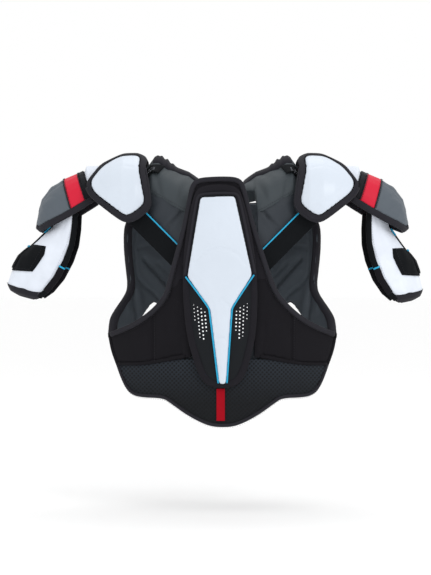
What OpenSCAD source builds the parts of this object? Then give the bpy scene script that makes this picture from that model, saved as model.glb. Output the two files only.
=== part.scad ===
// Ice hockey shoulder pads: a spine guard with lower-back wings, a chest, shoulder caps,
// upper-arm guards and elbow-side flaps. The wearer faces +Y, their right side is +X, and
// the origin is midway between the shoulder tops. All sizes are in millimetres.

/* [Torso] */
// Radius of the curved back and chest panels, seen from above
panel_r = 300; // [290:1:312]
// Distance from the body's middle to each panel's centre of curvature
panel_axis_y = 180; // [178:1:188]
// Thickness of the padded fabric panels
pad_t = 9; // [7:0.5:9.5]
// Thickness of the grey moulded liners
liner_t = 6; // [4:0.5:7]
// Thickness of the moulded plastic plates
plate_t = 4; // [3:0.5:5]

/* [Spine guard] */
// Lean of the spine guard from upright, in degrees
spine_lean = 1.5; // [0:0.5:1.5]
// Width of the piping beside the spine plate
piping_w = 3; // [2.5:0.5:3.5]

/* [Binding and straps] */
// Width of the sewn edge binding
binding_w = 8; // [6:0.5:9]
// Thickness of the elastic straps
strap_t = 2.5; // [2:0.5:3]

/* [Arms] */
// Wall of the shoulder cap's foam
cap_foam_t = 7; // [5:0.5:8]
// Wall of the arm guards and flaps
arm_t = 6; // [5:0.5:7]

/* [Hidden] */
$fn = 64;

gap = 0.5;            // clearance between neighbouring layers
reach = 260;          // longer than any cut through the panels
layer_liner = panel_r - 19;
layer_strap = layer_liner + liner_t + gap + strap_t / 2;
layer_pad = layer_strap + strap_t / 2 + gap;
layer_shell = layer_pad + pad_t + gap;
layer_plate = layer_shell + plate_t + gap;

// ---- outlines, right half, seen from behind as [x, z] ----
spine_pad_half = [[36, -27], [49, -45], [59, -100], [75, -150], [86, -200], [92, -222], [62, -236],
    [60, -300], [50, -342]];
spine_shell_half = [[33, -40], [44, -60], [60, -140], [66, -222], [61, -300], [50, -345], [38, -380],
    [20, -397]];
spine_plate_half = [[30, -61], [57, -200], [18.5, -257], [6, -390]];
wing_outline = [[69, -243], [95.5, -227], [107, -243], [125, -262], [150, -281], [175, -293], [203, -303],
    [198, -330], [188.5, -357], [150, -356.5], [122, -352], [100, -346.5], [66, -339]];
lumbar_half = [[63, -346.5], [100, -350], [122, -354.5], [150, -358], [188, -358.5], [179.5, -381], [170, -400],
    [159, -410], [142, -413.5], [104, -413.5], [90, -422], [60, -444.5], [30, -459.5], [14, -463]];
liner_outline = [[16, -90], [35, -62], [118, -62], [135, -85], [174, -101], [178, -125], [172, -200], [170, -228],
    [184, -256], [200, -278], [201, -299], [184, -299], [182, -291], [150, -293], [70, -289], [16, -289]];
chest_outline = [[14, -90], [34, -62], [104, -62], [122, -85], [144, -94], [176, -106], [180, -125], [174, -200], [172, -228],
    [186, -256], [203, -280], [204, -300], [188, -300], [185, -293], [150, -296], [70, -292], [14, -292]];
belly_half = [[120, -297.5], [184, -296], [184, -340], [120, -372], [60, -385]];
cap_outline = [[134, 14], [150, 25], [180, 25], [221, 3], [247, -34], [236, -57], [185, -97], [168, -105],
    [146, -96], [126, -76], [139, -8]];
cap_face = [[148, 15], [160, 19.5], [186, 17], [217, -3], [238, -32], [229, -51], [180, -88], [170, -93],
    [153, -84], [138, -70], [151, -5]];
// The front lobe is cut off along these lines, shorter than the rear one
cap_front_trim = [[100, -50], [131, -46], [152, -55], [190, -55], [234, -45], [252, -22], [290, -22], [290, -140],
    [100, -140]];
cap_front_face_trim = [[100, -42], [138, -38], [156, -47], [188, -47], [228, -37], [246, -12], [290, -12], [290, -140],
    [100, -140]];

// ---- arm sections: [edge at the wearer's side, outer crest, half depth], edges as [x, z] ----
sleeve_sections = [[[198, -44], [203, -6], 50], [[218, -50], [228, -5], 54], [[235, -57], [254, -6], 56]];
guard_sections = [[[236, -57], [255, -6], 60], [[247, -64], [265, -11], 61], [[273, -80], [291, -22], 61],
    [[295, -92], [313, -38], 57], [[315, -101], [331, -62], 47], [[328, -107], [337, -86], 32],
    [[335, -111], [341, -103], 16]];
flap_sections = [[[264, -84], [297, -74], 46], [[262, -112], [306, -112], 48], [[262, -141], [327, -142], 51],
    [[268, -171], [349, -171], 53], [[281, -204], [361, -203], 51], [[298, -229], [366, -225], 44],
    [[314, -243], [360, -237], 34], [[326, -249], [347, -245], 22]];
band_end = 1;         // station where the black band meets the stripe
stripe_end = 2;       // station where the stripe meets the shell
crest_steps = 12;     // facets round each arm section
flap_end = 6.3;       // station where the flap's pad meets its end binding
flap_face = 80;       // angle at which the flap's pad meets its edge straps
flap_pivot = [278, -78];
left_hang = 6;        // extra outward hang of the left flap, in degrees
left_spread = [0, 2, 6, 10, 12, 12, 10, 7]; // how much further out the left flap's crest stands, at each section
left_flap_sections = [for (i = [0:len(flap_sections) - 1]) let (s = flap_sections[i])
    [s[0], s[1] + [left_spread[i], 0], s[2]]];

// ================= helper functions =================
function flip(points) = [for (i = [len(points) - 1:-1:0]) [-points[i][0], points[i][1]]];
function whole(half) = concat(half, flip(half));
function unit(v) = v / norm(v);
function mix(a, b, t) = a + (b - a) * t;

// A corner rounded by a quadratic curve that starts and ends r from it, or at mid edge
function bend(p, q, s, r, n) =
    let (back = min(r, norm(p - q) * 0.45), ahead = min(r, norm(s - q) * 0.45),
        a = q + unit(p - q) * back, b = q + unit(s - q) * ahead)
    [for (i = [0:n]) let (t = i / n) (1 - t) * (1 - t) * a + 2 * t * (1 - t) * q + t * t * b];
function rounded(points, r, n = 3) =
    let (m = len(points))
    [for (i = [0:m - 1]) each bend(points[(i + m - 1) % m], points[i], points[(i + 1) % m], r, n)];

// A closed outline moved outwards by w, for outlines that run clockwise
function left_of(v) = [-v[1], v[0]];
function grown(points, w) =
    let (m = len(points))
    [for (i = [0:m - 1])
        let (u = unit(points[i] - points[(i + m - 1) % m]), v = unit(points[(i + 1) % m] - points[i]),
            mid = unit(left_of(u) + left_of(v)), stretch = max(0.6, mid * left_of(u)))
        points[i] + mid * w / stretch];

// Linear interpolation along a list of arm sections; station 1.5 is midway between 1 and 2
function section_at(list, station) =
    let (i = min(floor(station), len(list) - 2), t = station - i)
    [mix(list[i][0], list[i + 1][0], t), mix(list[i][1], list[i + 1][1], t), mix(list[i][2], list[i + 1][2], t)];

// A point on an arm section at angle a: -90 at the rear edge, 0 at the crest, 90 at the front edge
function dome_point(section, a, inset) =
    let (edge = section[0], across = section[1] - section[0], shrink = 1 - inset / norm(across),
        flat = edge + across * cos(a) * shrink)
    [flat[0], sin(a) * (section[2] - inset), flat[1]];

// ================= helper modules =================
// A closed solid between two grids of points with the same rows and columns
module slab(outer, inner) {
    rows = len(outer);
    cols = len(outer[0]);
    count = rows * cols;
    points = concat([for (row = outer) each row], [for (row = inner) each row]);
    skin = [for (i = [0:rows - 2], j = [0:cols - 2]) let (k = i * cols + j)
        each [[k, k + 1, k + cols + 1], [k, k + cols + 1, k + cols]]];
    lining = [for (f = skin) [f[2] + count, f[1] + count, f[0] + count]];
    ends = [for (j = [0:cols - 2]) let (k = (rows - 1) * cols + j) each [
        [j + 1, j, j + count], [j + 1, j + count, j + 1 + count],
        [k, k + 1, k + 1 + count], [k, k + 1 + count, k + count]]];
    sides = [for (i = [0:rows - 2]) let (k = i * cols, m = i * cols + cols - 1) each [
        [k, k + cols, k + cols + count], [k, k + cols + count, k + count],
        [m + cols, m, m + count], [m + cols, m + count, m + cols + count]]];
    polyhedron(points, concat(skin, lining, ends, sides), convexity = 6);
}

// The outline, drawn as [x, z], cut right through the back (side -1) or the chest (side 1)
module cut(points, side) {
    translate([0, side > 0 ? reach : 0, 0]) rotate([90, 0, 0]) linear_extrude(reach) polygon(points);
}

// A vertical curved sheet between two radii, at the back (side -1) or the chest (side 1)
module sheet(side, inner, outer) {
    translate([0, -side * panel_axis_y, -560]) difference() {
        cylinder(r = outer, h = 660, $fn = 96);
        translate([0, 0, -1]) cylinder(r = inner, h = 662, $fn = 96);
    }
}

module panel(points, side, inner, thickness) {
    intersection() {
        sheet(side, inner, inner + thickness);
        cut(points, side);
    }
}

module ring_panel(points, hole, side, inner, thickness) {
    difference() {
        panel(points, side, inner, thickness);
        cut(hole, side);
    }
}

function leaned(points) =
    let (foot = [0, -395])
    [for (p = points) let (d = p - foot)
        foot + [d[0] * cos(spine_lean) - d[1] * sin(spine_lean), d[0] * sin(spine_lean) + d[1] * cos(spine_lean)]];

module left() {
    mirror([1, 0, 0]) children();
}

module left_flap() {
    translate([-flap_pivot[0], 0, flap_pivot[1]]) rotate([0, left_hang, 0])
        translate([flap_pivot[0], 0, -flap_pivot[1]]) left() children();
}

module both_sides() {
    children();
    left() children();
}

// Part of an arm dome between two stations, of a given wall, standing off by lift
module dome(list, from, to, wall, lift = 0, low = -90, high = 90, steps = crest_steps) {
    stops = concat([from], [for (s = [floor(from) + 1:1:ceil(to) - 1]) s], [to]);
    angles = [for (k = [0:steps]) low + (high - low) * k / steps];
    slab([for (s = stops) [for (a = angles) dome_point(section_at(list, s), a, -lift)]],
        [for (s = stops) [for (a = angles) dome_point(section_at(list, s), a, wall - lift)]]);
}

// A flat-sided bar swept along points, w wide across and t thick; across is the width direction
module bar(path, across, w, t) {
    ahead = [for (i = [0:len(path) - 1])
        unit(path[min(i + 1, len(path) - 1)] - path[max(i - 1, 0)])];
    wide = [for (i = [0:len(path) - 1]) unit(across[i] - ahead[i] * (across[i] * ahead[i])) * w / 2];
    deep = [for (i = [0:len(path) - 1]) unit(cross(ahead[i], wide[i])) * t / 2];
    slab([for (i = [0:len(path) - 1]) [path[i] - wide[i] + deep[i], path[i] + wide[i] + deep[i]]],
        [for (i = [0:len(path) - 1]) [path[i] - wide[i] - deep[i], path[i] + wide[i] - deep[i]]]);
}

// ================= spine guard =================
border_edge = [[-50, -341], [-60, -300], [-62, -236], [-92, -222], [-86, -200], [-75, -150], [-59, -100],
    [-49, -45], [-36, -27], [36, -27], [49, -45], [59, -100], [75, -150], [86, -200], [92, -222], [62, -236],
    [60, -300], [50, -341]];
spine_layer = layer_shell + 3 + gap;

module spine_pad() {
    color("#232227") panel(leaned(rounded(whole(spine_pad_half), 14)), -1, layer_pad, pad_t);
}

module spine_border() {
    upper = [[-120, -221], [-120, 0], [120, 0], [120, -221]];
    color("#2d2c31") intersection() {
        ring_panel(leaned(rounded(border_edge, 14)), leaned(rounded(grown(border_edge, -binding_w), 10)),
            -1, layer_shell, 3);
        cut(upper, -1);
    }
}

module spine_frame() {
    color("#29282d") ring_panel(leaned(rounded(whole(spine_shell_half), 12)),
        leaned(rounded(grown(whole(spine_shell_half), -9), 9)), -1, spine_layer, 4);
}

module spine_shell() {
    hole = 1.6;
    dots = [for (row = [0:8], column = [0:2], side = [-1, 1])
        [side * (27 + column * 6.5 + (row % 2) * 3), -257 - row * 6.5]];
    color("#26292c") difference() {
        panel(leaned(rounded(grown(whole(spine_shell_half), -9.5), 9)), -1, spine_layer, plate_t);
        for (dot = leaned(dots)) translate([dot[0], 0, dot[1]])
            rotate([90, 0, 0]) cylinder(r = hole, h = reach, $fn = 16);
    }
}

module spine_plate() {
    color("#e8ebf5") panel(leaned(rounded(whole(spine_plate_half), 6)), -1, spine_layer + plate_t + gap, plate_t);
}

module spine_piping() {
    strip = [[60.5, -199], [21.5, -256.5], [8.8, -388], [8.8 - piping_w, -388], [21 - piping_w, -257.5],
        [59 - piping_w / 2, -203]];
    beside = grown([[-1, -190], [55, -190], [57, -200], [18.5, -257], [6, -392], [-1, -392]], 0.9);
    color("#39b4dc") for (side = [-1, 1]) {
        flank = side > 0 ? strip : flip(strip);
        hidden = side > 0 ? beside : flip(beside);
        difference() {
            panel(leaned(flank), -1, spine_layer + plate_t + gap, plate_t - 1);
            cut(leaned(hidden), -1);
        }
    }
}

// ================= lower back =================
module back_wing() {
    color("#1f1e23") panel(rounded(wing_outline, 6), -1, layer_pad, pad_t);
}

module wing_binding() {
    hem = [[95, -222.5], [108, -241.5], [126, -260.5], [151, -279.5], [176, -291.5], [204, -301.5], [202.5, -309],
        [173, -299.5], [147, -287], [121, -267.5], [103, -249], [89, -229]];
    color("#2d2c31") both_sides() panel(hem, -1, layer_shell, 3);
}

module lumbar_band() {
    color("#1b1c21") panel(rounded(whole(lumbar_half), 8), -1, layer_pad, pad_t - 2);
}

module lumbar_hem() {
    outline = whole(lumbar_half);
    edge = rounded(outline, 8);
    half = [[12, -456], [28, -452.5], [57, -438], [87, -415.5], [101, -406.5], [140, -406.5], [155, -403.5], [164, -396],
        [173, -378], [181, -361], [260, -361], [260, -500]];
    lift = whole(half);
    color("#2a292e") intersection() {
        panel(edge, -1, layer_shell - 2, 2.5);
        cut(lift, -1);
    }
}

module red_tab() {
    color("#b8142c") panel([[-12, -399], [5, -399], [5, -454], [-12, -454]], -1, layer_shell - 2, 2);
}

module back_liner() {
    half = [[30, -40], [46, -100], [60, -180], [66, -235], [110, -268], [168, -305], [158, -350], [150, -385],
        [90, -398], [40, -435]];
    color("#3a3f45") panel(rounded(whole(half), 12), -1, layer_liner, liner_t);
}

module hang_loop() {
    half_w = 22;
    bar_path = [[-half_w, -96, -52], [-half_w + 3, -95, -37], [-9, -94, -32], [9, -94, -32],
        [half_w - 3, -95, -37], [half_w, -96, -52]];
    color("#17171a") bar(bar_path, [for (p = bar_path) [0, 1, 0.05]], 5, 2);
}

// ================= yokes over the shoulders =================
// Height of the yoke's crest and its half depth, x from the middle
crest_z = [[34, -31], [60, -17], [80, -9], [97, 0], [116, 13], [128, 14]];
half_depth = [[34, 97], [80, 97], [128, 82]];
rear_end = [[34, -110], [60, -104], [128, -50]];
front_end = [[34, -59], [128, -59]];
yoke_foot_z = -90;

function yoke_point(x, a, inset) =
    let (top = lookup(x, crest_z) - inset, deep = lookup(x, half_depth) - inset)
    [x, sin(a) * deep, yoke_foot_z + (top - yoke_foot_z) * cos(a)];
yoke_split = 0.6;      // half the slit between the yoke's rear and front halves, in degrees
// The angle at which the yoke reaches height z, 0 at the crest and 90 at the foot
function yoke_angle(x, z) = acos((z - yoke_foot_z) / (lookup(x, crest_z) - yoke_foot_z));

module yoke(side) {
    xs = [for (k = [0:6]) 36 + k * 15];
    ends = [for (x = xs) min(88, yoke_angle(x, side < 0 ? max(-88, lookup(x, rear_end)) : -58.5))];
    steps = 8;
    grid = function(inset) [for (i = [0:len(xs) - 1]) [for (k = [0:steps])
        yoke_point(xs[i], side * (yoke_split + (ends[i] - yoke_split) * (side < 0 ? steps - k : k) / steps), inset)]];
    slab(grid(0), grid(liner_t + 3));
}

module collar(side) {
    low_z = side < 0 ? -34 : -57;
    steps = 9;
    last = yoke_angle(36, max(-88, side < 0 ? -64 : low_z));
    path = [for (k = [0:steps]) let (a = side * (yoke_split + (last - yoke_split) * k / steps))
        yoke_point(36, a, 4) + [-6.5, 0, 0]];
    color("#2b2a2f") both_sides() bar(path, [for (p = path) [1, 0, 0.15]], 9, 11);
}

// The rear half of the yoke and the skirt that carries it down to the rear strap, open beside the spine guard
module yoke_back() {
    skirt = [[60, -104], [60, -60], [98, -50], [124, -56], [137, -80], [115, -102], [86, -131], [68, -149],
        [61, -150]];
    color("#3d4247") {
        difference() {
            yoke(-1);
            cut([[30, -46], [58, -46], [62, -102], [30, -120]], -1);
        }
        panel(rounded(skirt, 5), -1, layer_liner + liner_t - 2.6, 2.6);
    }
}

module yoke_front() {
    color("#3d4247") yoke(1);
}

// ================= straps on the back =================
function on_back(x, z, r) = [x, panel_axis_y - sqrt(r * r - x * x), z];
strap_line = [on_back(66, -184, layer_strap - 0.4), on_back(82, -168, layer_strap - 0.3),
    on_back(100, -150, layer_strap - 0.3), [130, -83, -120], [156, -76, -94]];
strap_tilts = [for (y = [0.17, 0.23, 0.27, 0.21, 0.16]) [-0.72, -y, 0.69]];

module rear_strap() {
    color("#131417") bar(strap_line, strap_tilts, 34, strap_t);
}

module rear_strap_edge() {
    edge = strap_line + strap_tilts * 18.8;
    color("#2f9fc4") both_sides() bar(edge, strap_tilts, 3, strap_t - 0.7);
}

module cap_tether(side) {
    lean = side * 22;
    path = [for (x = [98, 112, 126]) yoke_point(x, lean, -strap_t / 2 - gap)];
    color("#131417") both_sides() bar(path, [for (p = path) [0, cos(lean), -sin(lean)]], 22, strap_t);
}

// ================= chest =================
// Slot beside the neck and vent at the side of each half of the chest
module chest_cuts() {
    cut([[53, -68], [58, -68], [64, -90], [59, -90]], 1);
    cut([[119, -258], [127, -243], [156, -282], [146, -282]], 1);
}

module chest_pad() {
    color("#1f1e23") difference() {
        panel(rounded(chest_outline, 12), 1, layer_pad, pad_t);
        chest_cuts();
    }
}

module chest_liner() {
    color("#3a3f45") difference() {
        panel(rounded(liner_outline, 12), 1, layer_liner, liner_t);
        chest_cuts();
    }
}

module armhole_binding() {
    edge = [[176, -103], [181, -125], [175, -200], [173, -228], [187, -255.5], [204.5, -280]];
    hem = [for (k = [0:len(edge) - 1]) edge[len(edge) - 1 - k] - [binding_w + 1, -2]];
    color("#2b2a2f") both_sides() panel(concat(edge, hem), 1, layer_liner - 2.5, 2);
}

module pec_plates() {
    plate = [[40, -80], [118, -72], [158, -108], [156, -178], [120, -214], [58, -196], [34, -150]];
    color("#e8ebf5") both_sides() panel(rounded(plate, 16), 1, layer_shell, plate_t);
}

module sternum_plate() {
    half = [[22, -98], [30, -150], [26, -216], [46, -240], [40, -286], [16, -320]];
    color("#e8ebf5") panel(rounded(whole(half), 9), 1, layer_plate, plate_t);
}

module belly_pad() {
    color("#1b1c21") panel(rounded(whole(belly_half), 10), 1, layer_pad, pad_t - 2);
}

module belly_hem() {
    half = [[184, -300], [184, -340], [120, -372], [60, -385]];
    inset = [for (p = half) p + [-7, 7]];
    color("#2a292e") difference() {
        panel(rounded(whole(half), 10), 1, layer_shell - 2, 2.5);
        cut(whole([[177, -250], [177, -335], [117, -365], [59, -377]]), 1);
    }
}

// ================= shoulder caps =================
// Radius of the cap about its front-to-rear arch's centre, x from the middle
cap_axis_z = -75;
cap_profile = [[124, 91], [140, 95], [155, 101], [180, 100], [200, 95], [221, 87], [249, 77]];

module arch(offset_out, offset_in) {
    outer = [for (p = cap_profile) [p[1] + offset_out, p[0]]];
    inner = [for (k = [len(cap_profile) - 1:-1:0]) [cap_profile[k][1] + offset_in, cap_profile[k][0]]];
    translate([0, 0, cap_axis_z]) rotate([0, 90, 0]) rotate_extrude($fn = 96) polygon(concat(outer, inner));
}

// The cap's outline cut right through, with the front lobe trimmed shorter than the rear one
module lobes(outline, front_trim) {
    difference() {
        translate([0, reach / 2, 0]) rotate([90, 0, 0]) linear_extrude(reach) polygon(outline);
        cut(rounded(front_trim, 10), 1);
    }
}

module cap_pad() {
    color("#232227") intersection() {
        arch(-plate_t, -plate_t - cap_foam_t + 1);
        lobes(rounded(grown(cap_outline, -1), 10), cap_front_trim);
    }
}

module cap_plate() {
    color("#e6e9f4") intersection() {
        arch(0, -plate_t + gap);
        lobes(rounded(cap_face, 10), cap_front_face_trim);
    }
}

module cap_binding() {
    color("#2b2a2f") intersection() {
        arch(1, -plate_t + gap);
        difference() {
            lobes(rounded(cap_outline, 10), cap_front_trim);
            lobes(rounded(grown(cap_face, 0.5), 10), grown(cap_front_face_trim, -0.5));
        }
    }
}

// ================= arms =================
module sleeve() {
    color("#e2e5ef") dome(sleeve_sections, 0, 2, 4, -5);
}

module arm_band() {
    color("#33383c") dome(guard_sections, 0.03, band_end - 0.03, arm_t, 0);
}

module arm_stripe() {
    color("#d8202f") dome(guard_sections, band_end, stripe_end - 0.02, arm_t, 0);
}

module arm_shell() {
    color("#474e53") dome(guard_sections, stripe_end, len(guard_sections) - 1, arm_t, 0);
}

module arm_binding() {
    path = concat([for (s = guard_sections) dome_point(s, -90, 3) + [-3.6, 0, -5.4]],
        [for (k = [len(guard_sections) - 1:-1:0]) dome_point(guard_sections[k], 90, 3) + [-3.6, 0, -5.4]]);
    color("#2b2a2f") bar(path, [for (p = path) [0.5, 0, 0.87]], 11, 6);
}

module flap_pad(sections = flap_sections) {
    color("#e6e9f4") dome(sections, 0, flap_end, arm_t - 1, 0, -flap_face, flap_face);
}

module flap_binding(sections = flap_sections) {
    color("#2b2a2f") dome(sections, flap_end + 0.03, len(sections) - 1, arm_t + 1, 1);
}

module flap_strap(sections = flap_sections) {
    color("#202225") for (side = [-1, 1])
        mirror([0, side > 0 ? 1 : 0, 0]) dome(sections, 0, flap_end, arm_t, 0.5, -90, -flap_face - 0.6, 2);
}

module wrap_tab(sections = flap_sections) {
    color("#17191c") dome(sections, 2.3, 3.8, strap_t, strap_t + gap, -52, 14, 8);
}

module side_strap() {
    path = [[192, -27, -318], [195.5, -8, -318], [195.5, 20, -318], [187.5, 50, -318]];
    color("#17171a") bar(path, [for (p = path) [0.12, 0, 1]], 28, strap_t);
}

spine_pad();
spine_border();
spine_frame();
spine_shell();
spine_plate();
spine_piping();
left() back_wing();  // back_wing_left
back_wing();  // back_wing_right
wing_binding();
lumbar_band();
lumbar_hem();
red_tab();
back_liner();
left() yoke_back();  // yoke_back_left
yoke_back();  // yoke_back_right
collar(-1);  // collar_back
left() rear_strap();  // rear_strap_left
rear_strap();  // rear_strap_right
rear_strap_edge();
cap_tether(-1);  // cap_tether_back
cap_tether(1);  // cap_tether_front
hang_loop();
left() chest_pad();  // chest_pad_left
chest_pad();  // chest_pad_right
left() chest_liner();  // chest_liner_left
chest_liner();  // chest_liner_right
armhole_binding();
pec_plates();
sternum_plate();
belly_pad();
belly_hem();
left() yoke_front();  // yoke_front_left
yoke_front();  // yoke_front_right
collar(1);  // collar_front
left() cap_pad();  // cap_pad_left
cap_pad();  // cap_pad_right
left() cap_plate();  // cap_plate_left
cap_plate();  // cap_plate_right
left() cap_binding();  // cap_binding_left
cap_binding();  // cap_binding_right
left() sleeve();  // sleeve_left
sleeve();  // sleeve_right
left() arm_band();  // arm_band_left
arm_band();  // arm_band_right
left() arm_stripe();  // arm_stripe_left
arm_stripe();  // arm_stripe_right
left() arm_shell();  // arm_shell_left
arm_shell();  // arm_shell_right
left() arm_binding();  // arm_binding_left
arm_binding();  // arm_binding_right
left_flap() flap_pad(left_flap_sections);  // flap_pad_left
flap_pad();  // flap_pad_right
left_flap() flap_binding(left_flap_sections);  // flap_binding_left
flap_binding();  // flap_binding_right
left_flap() flap_strap(left_flap_sections);  // flap_strap_left
flap_strap();  // flap_strap_right
left_flap() wrap_tab(left_flap_sections);  // wrap_tab_left
wrap_tab();  // wrap_tab_right
left() side_strap();  // side_strap_left
side_strap();  // side_strap_right
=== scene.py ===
"""The visual model of the ice hockey shoulder pads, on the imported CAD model. Metres, the CAD's own axes."""

import math

import bpy
import numpy as np
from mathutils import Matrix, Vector


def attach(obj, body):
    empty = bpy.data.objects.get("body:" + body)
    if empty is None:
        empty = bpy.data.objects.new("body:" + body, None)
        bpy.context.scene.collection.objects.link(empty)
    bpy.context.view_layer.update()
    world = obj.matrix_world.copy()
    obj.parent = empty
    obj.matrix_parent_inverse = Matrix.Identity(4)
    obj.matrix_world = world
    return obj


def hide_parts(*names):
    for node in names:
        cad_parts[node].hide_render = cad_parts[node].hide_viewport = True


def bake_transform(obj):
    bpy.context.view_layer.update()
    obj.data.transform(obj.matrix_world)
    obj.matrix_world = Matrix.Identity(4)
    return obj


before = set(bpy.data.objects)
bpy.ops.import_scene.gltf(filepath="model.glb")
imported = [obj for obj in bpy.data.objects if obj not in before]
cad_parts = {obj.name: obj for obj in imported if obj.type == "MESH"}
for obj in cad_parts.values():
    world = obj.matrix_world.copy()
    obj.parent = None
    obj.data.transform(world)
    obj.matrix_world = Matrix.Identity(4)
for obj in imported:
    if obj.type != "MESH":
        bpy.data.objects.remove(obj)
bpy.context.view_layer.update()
SIDES = {"left": -1.0, "right": 1.0}
MM = 0.001

# ---------------------------------------------------------------- the CAD's own shape, for placing details
# The back and the chest are curved about upright axes this far in front of and behind the middle; the caps
# are turned about axes along x at this height
PANEL_AXIS = 0.180
CAP_Z = -0.075
# Radii of the layers: the linings' inner face, the pads' outer face, the spine guard's border and its plate
R_LINER, R_SHELL, R_SPINE, R_PLATE = 0.281, 0.300, 0.3035, 0.308
# The spine guard leans a little to one side, about a point near its lower end
LEAN = math.radians(1.5)
LEAN_PIVOT = -0.395
# The left flap hangs further out than the right one, about this point (x, z)
FLAP_PIVOT = (0.278, -0.078)
LEFT_HANG = math.radians(6)


def on_sheet(x, z, r, side):
    """A point on the back's (side -1) or the chest's (side 1) curved sheet of radius r."""
    return Vector((x, side * (math.sqrt(max(r * r - x * x, 1e-9)) - PANEL_AXIS), z))


def leaned(x, z):
    """The spine guard's own x and z, turned by its lean."""
    d = z - LEAN_PIVOT
    return x * math.cos(LEAN) - d * math.sin(LEAN), x * math.sin(LEAN) + d * math.cos(LEAN) + LEAN_PIVOT


# The domes over the arm: each section is the edge (x, z), the crest (x, z) and half the depth, in millimetres
GUARD = [[(236, -57), (255, -6), 60], [(247, -64), (265, -11), 61], [(273, -80), (291, -22), 61],
         [(295, -92), (313, -38), 57], [(315, -101), (331, -62), 47], [(328, -107), (337, -86), 32],
         [(335, -111), (341, -103), 16]]
FLAP = [[(264, -84), (297, -74), 46], [(262, -112), (306, -112), 48], [(262, -141), (327, -142), 51],
        [(268, -171), (349, -171), 53], [(281, -204), (361, -203), 51], [(298, -229), (366, -225), 44],
        [(314, -243), (360, -237), 34], [(326, -249), (347, -245), 22]]
FLAP_LEFT = [[e, (c[0] + wide, c[1]), d] for (e, c, d), wide in zip(FLAP, (0, 2, 6, 10, 12, 12, 10, 7))]
SLEEVE = [[(198, -44), (203, -6), 50], [(218, -50), (228, -5), 54], [(235, -57), (254, -6), 56]]


def dome_point(sections, station, angle, lift=0.0):
    """A point on a right-hand dome, in metres: angle -90 at the rear edge, 0 at the crest, 90 in front."""
    i = min(int(station), len(sections) - 2)
    t = station - i
    (e0, c0, d0), (e1, c1, d1) = sections[i], sections[i + 1]
    edge = Vector(e0).lerp(Vector(e1), t)
    across = Vector(c0).lerp(Vector(c1), t) - edge
    k = math.cos(math.radians(angle)) * (1 + lift / across.length)
    y = math.sin(math.radians(angle)) * (d0 + (d1 - d0) * t + lift)
    p = edge + across * k
    return Vector((p.x, y, p.y)) * MM


def dome_normal(sections, station, angle):
    """The outward unit normal of a right-hand dome."""
    h = 0.02
    a = dome_point(sections, station + h, angle) - dome_point(sections, station - h, angle)
    b = dome_point(sections, station, angle + 1) - dome_point(sections, station, angle - 1)
    n = a.cross(b).normalized()
    out = dome_point(sections, station, angle, 5) - dome_point(sections, station, angle)
    return n if n.dot(out) > 0 else -n


def placed(p, side, hang=False):
    """A right-hand point or direction's place on either side; hang turns the left flap outward."""
    if side > 0:
        return p.copy()
    q = Vector((-p.x, p.y, p.z))
    if hang:
        dx, dz = q.x + FLAP_PIVOT[0], q.z - FLAP_PIVOT[1]
        c, s = math.cos(LEFT_HANG), math.sin(LEFT_HANG)
        q = Vector((dx * c + dz * s - FLAP_PIVOT[0], q.y, -dx * s + dz * c + FLAP_PIVOT[1]))
    return q


# ---------------------------------------------------------------- materials
def node_of(tree, kind, **values):
    """A new shader node; in_Some_Name sets the input called Some Name, and any other key an attribute."""
    n = tree.nodes.new(kind)
    for key, v in values.items():
        if key.startswith("in_"):
            n.inputs[key[3:].replace("_", " ")].default_value = v
        else:
            setattr(n, key, v)
    return n


def base_material(name, colour, rough, coat=0.0, sheen=0.0, spec=0.15, vary=0.12, vary_size=0.03):
    """A principled material whose colour drifts a little over the surface."""
    m = bpy.data.materials.new(name)
    m.use_nodes = True
    t = m.node_tree
    b = t.nodes["Principled BSDF"]
    b.inputs["Roughness"].default_value = rough
    b.inputs["Specular IOR Level"].default_value = spec
    b.inputs["Coat Weight"].default_value = coat
    b.inputs["Coat Roughness"].default_value = 0.25
    b.inputs["Sheen Weight"].default_value = sheen
    b.inputs["Sheen Roughness"].default_value = 0.45
    where = node_of(t, "ShaderNodeTexCoord")
    cloud = node_of(t, "ShaderNodeTexNoise", in_Scale=1 / vary_size, in_Detail=3.0)
    mix = node_of(t, "ShaderNodeMix", data_type="RGBA")
    mix.inputs[6].default_value = (*[c * (1 - vary) for c in colour], 1)
    mix.inputs[7].default_value = (*[min(1, c * (1 + vary)) for c in colour], 1)
    t.links.new(where.outputs["Object"], cloud.inputs["Vector"])
    t.links.new(cloud.outputs["Fac"], mix.inputs["Factor"])
    t.links.new(mix.outputs[2], b.inputs["Base Color"])
    return m, t, b, where, mix


def math_node(t, op, *values):
    """A maths node's output; each value is a number or another node's output."""
    n = node_of(t, "ShaderNodeMath", operation=op)
    for k, v in enumerate(values):
        if isinstance(v, (int, float)):
            n.inputs[k].default_value = v
        else:
            t.links.new(v, n.inputs[k])
    return n.outputs[0]


def bump(t, b, height, depth, strength=1.0, under=None):
    """A bump node on the shader, over another bump's normal where one is given."""
    n = node_of(t, "ShaderNodeBump", in_Strength=strength, in_Distance=depth)
    t.links.new(height, n.inputs["Height"])
    if under:
        t.links.new(under, n.inputs["Normal"])
    t.links.new(n.outputs["Normal"], b.inputs["Normal"])
    return n.outputs["Normal"]


def lattice(t, where, pitch, diagonal=False):
    """0 to 1 over a grid of soft bumps across X and Z, or across a diamond grid."""
    xyz = node_of(t, "ShaderNodeSeparateXYZ")
    t.links.new(where.outputs["Object"], xyz.inputs[0])
    x, z = xyz.outputs["X"], xyz.outputs["Z"]
    if diagonal:
        x, z = math_node(t, "ADD", x, z), math_node(t, "SUBTRACT", x, z)
    wave = [math_node(t, "SINE", math_node(t, "MULTIPLY", v, 2 * math.pi / pitch)) for v in (x, z)]
    return math_node(t, "ADD", math_node(t, "MULTIPLY", math_node(t, "MULTIPLY", *wave), 0.5), 0.5)


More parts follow.
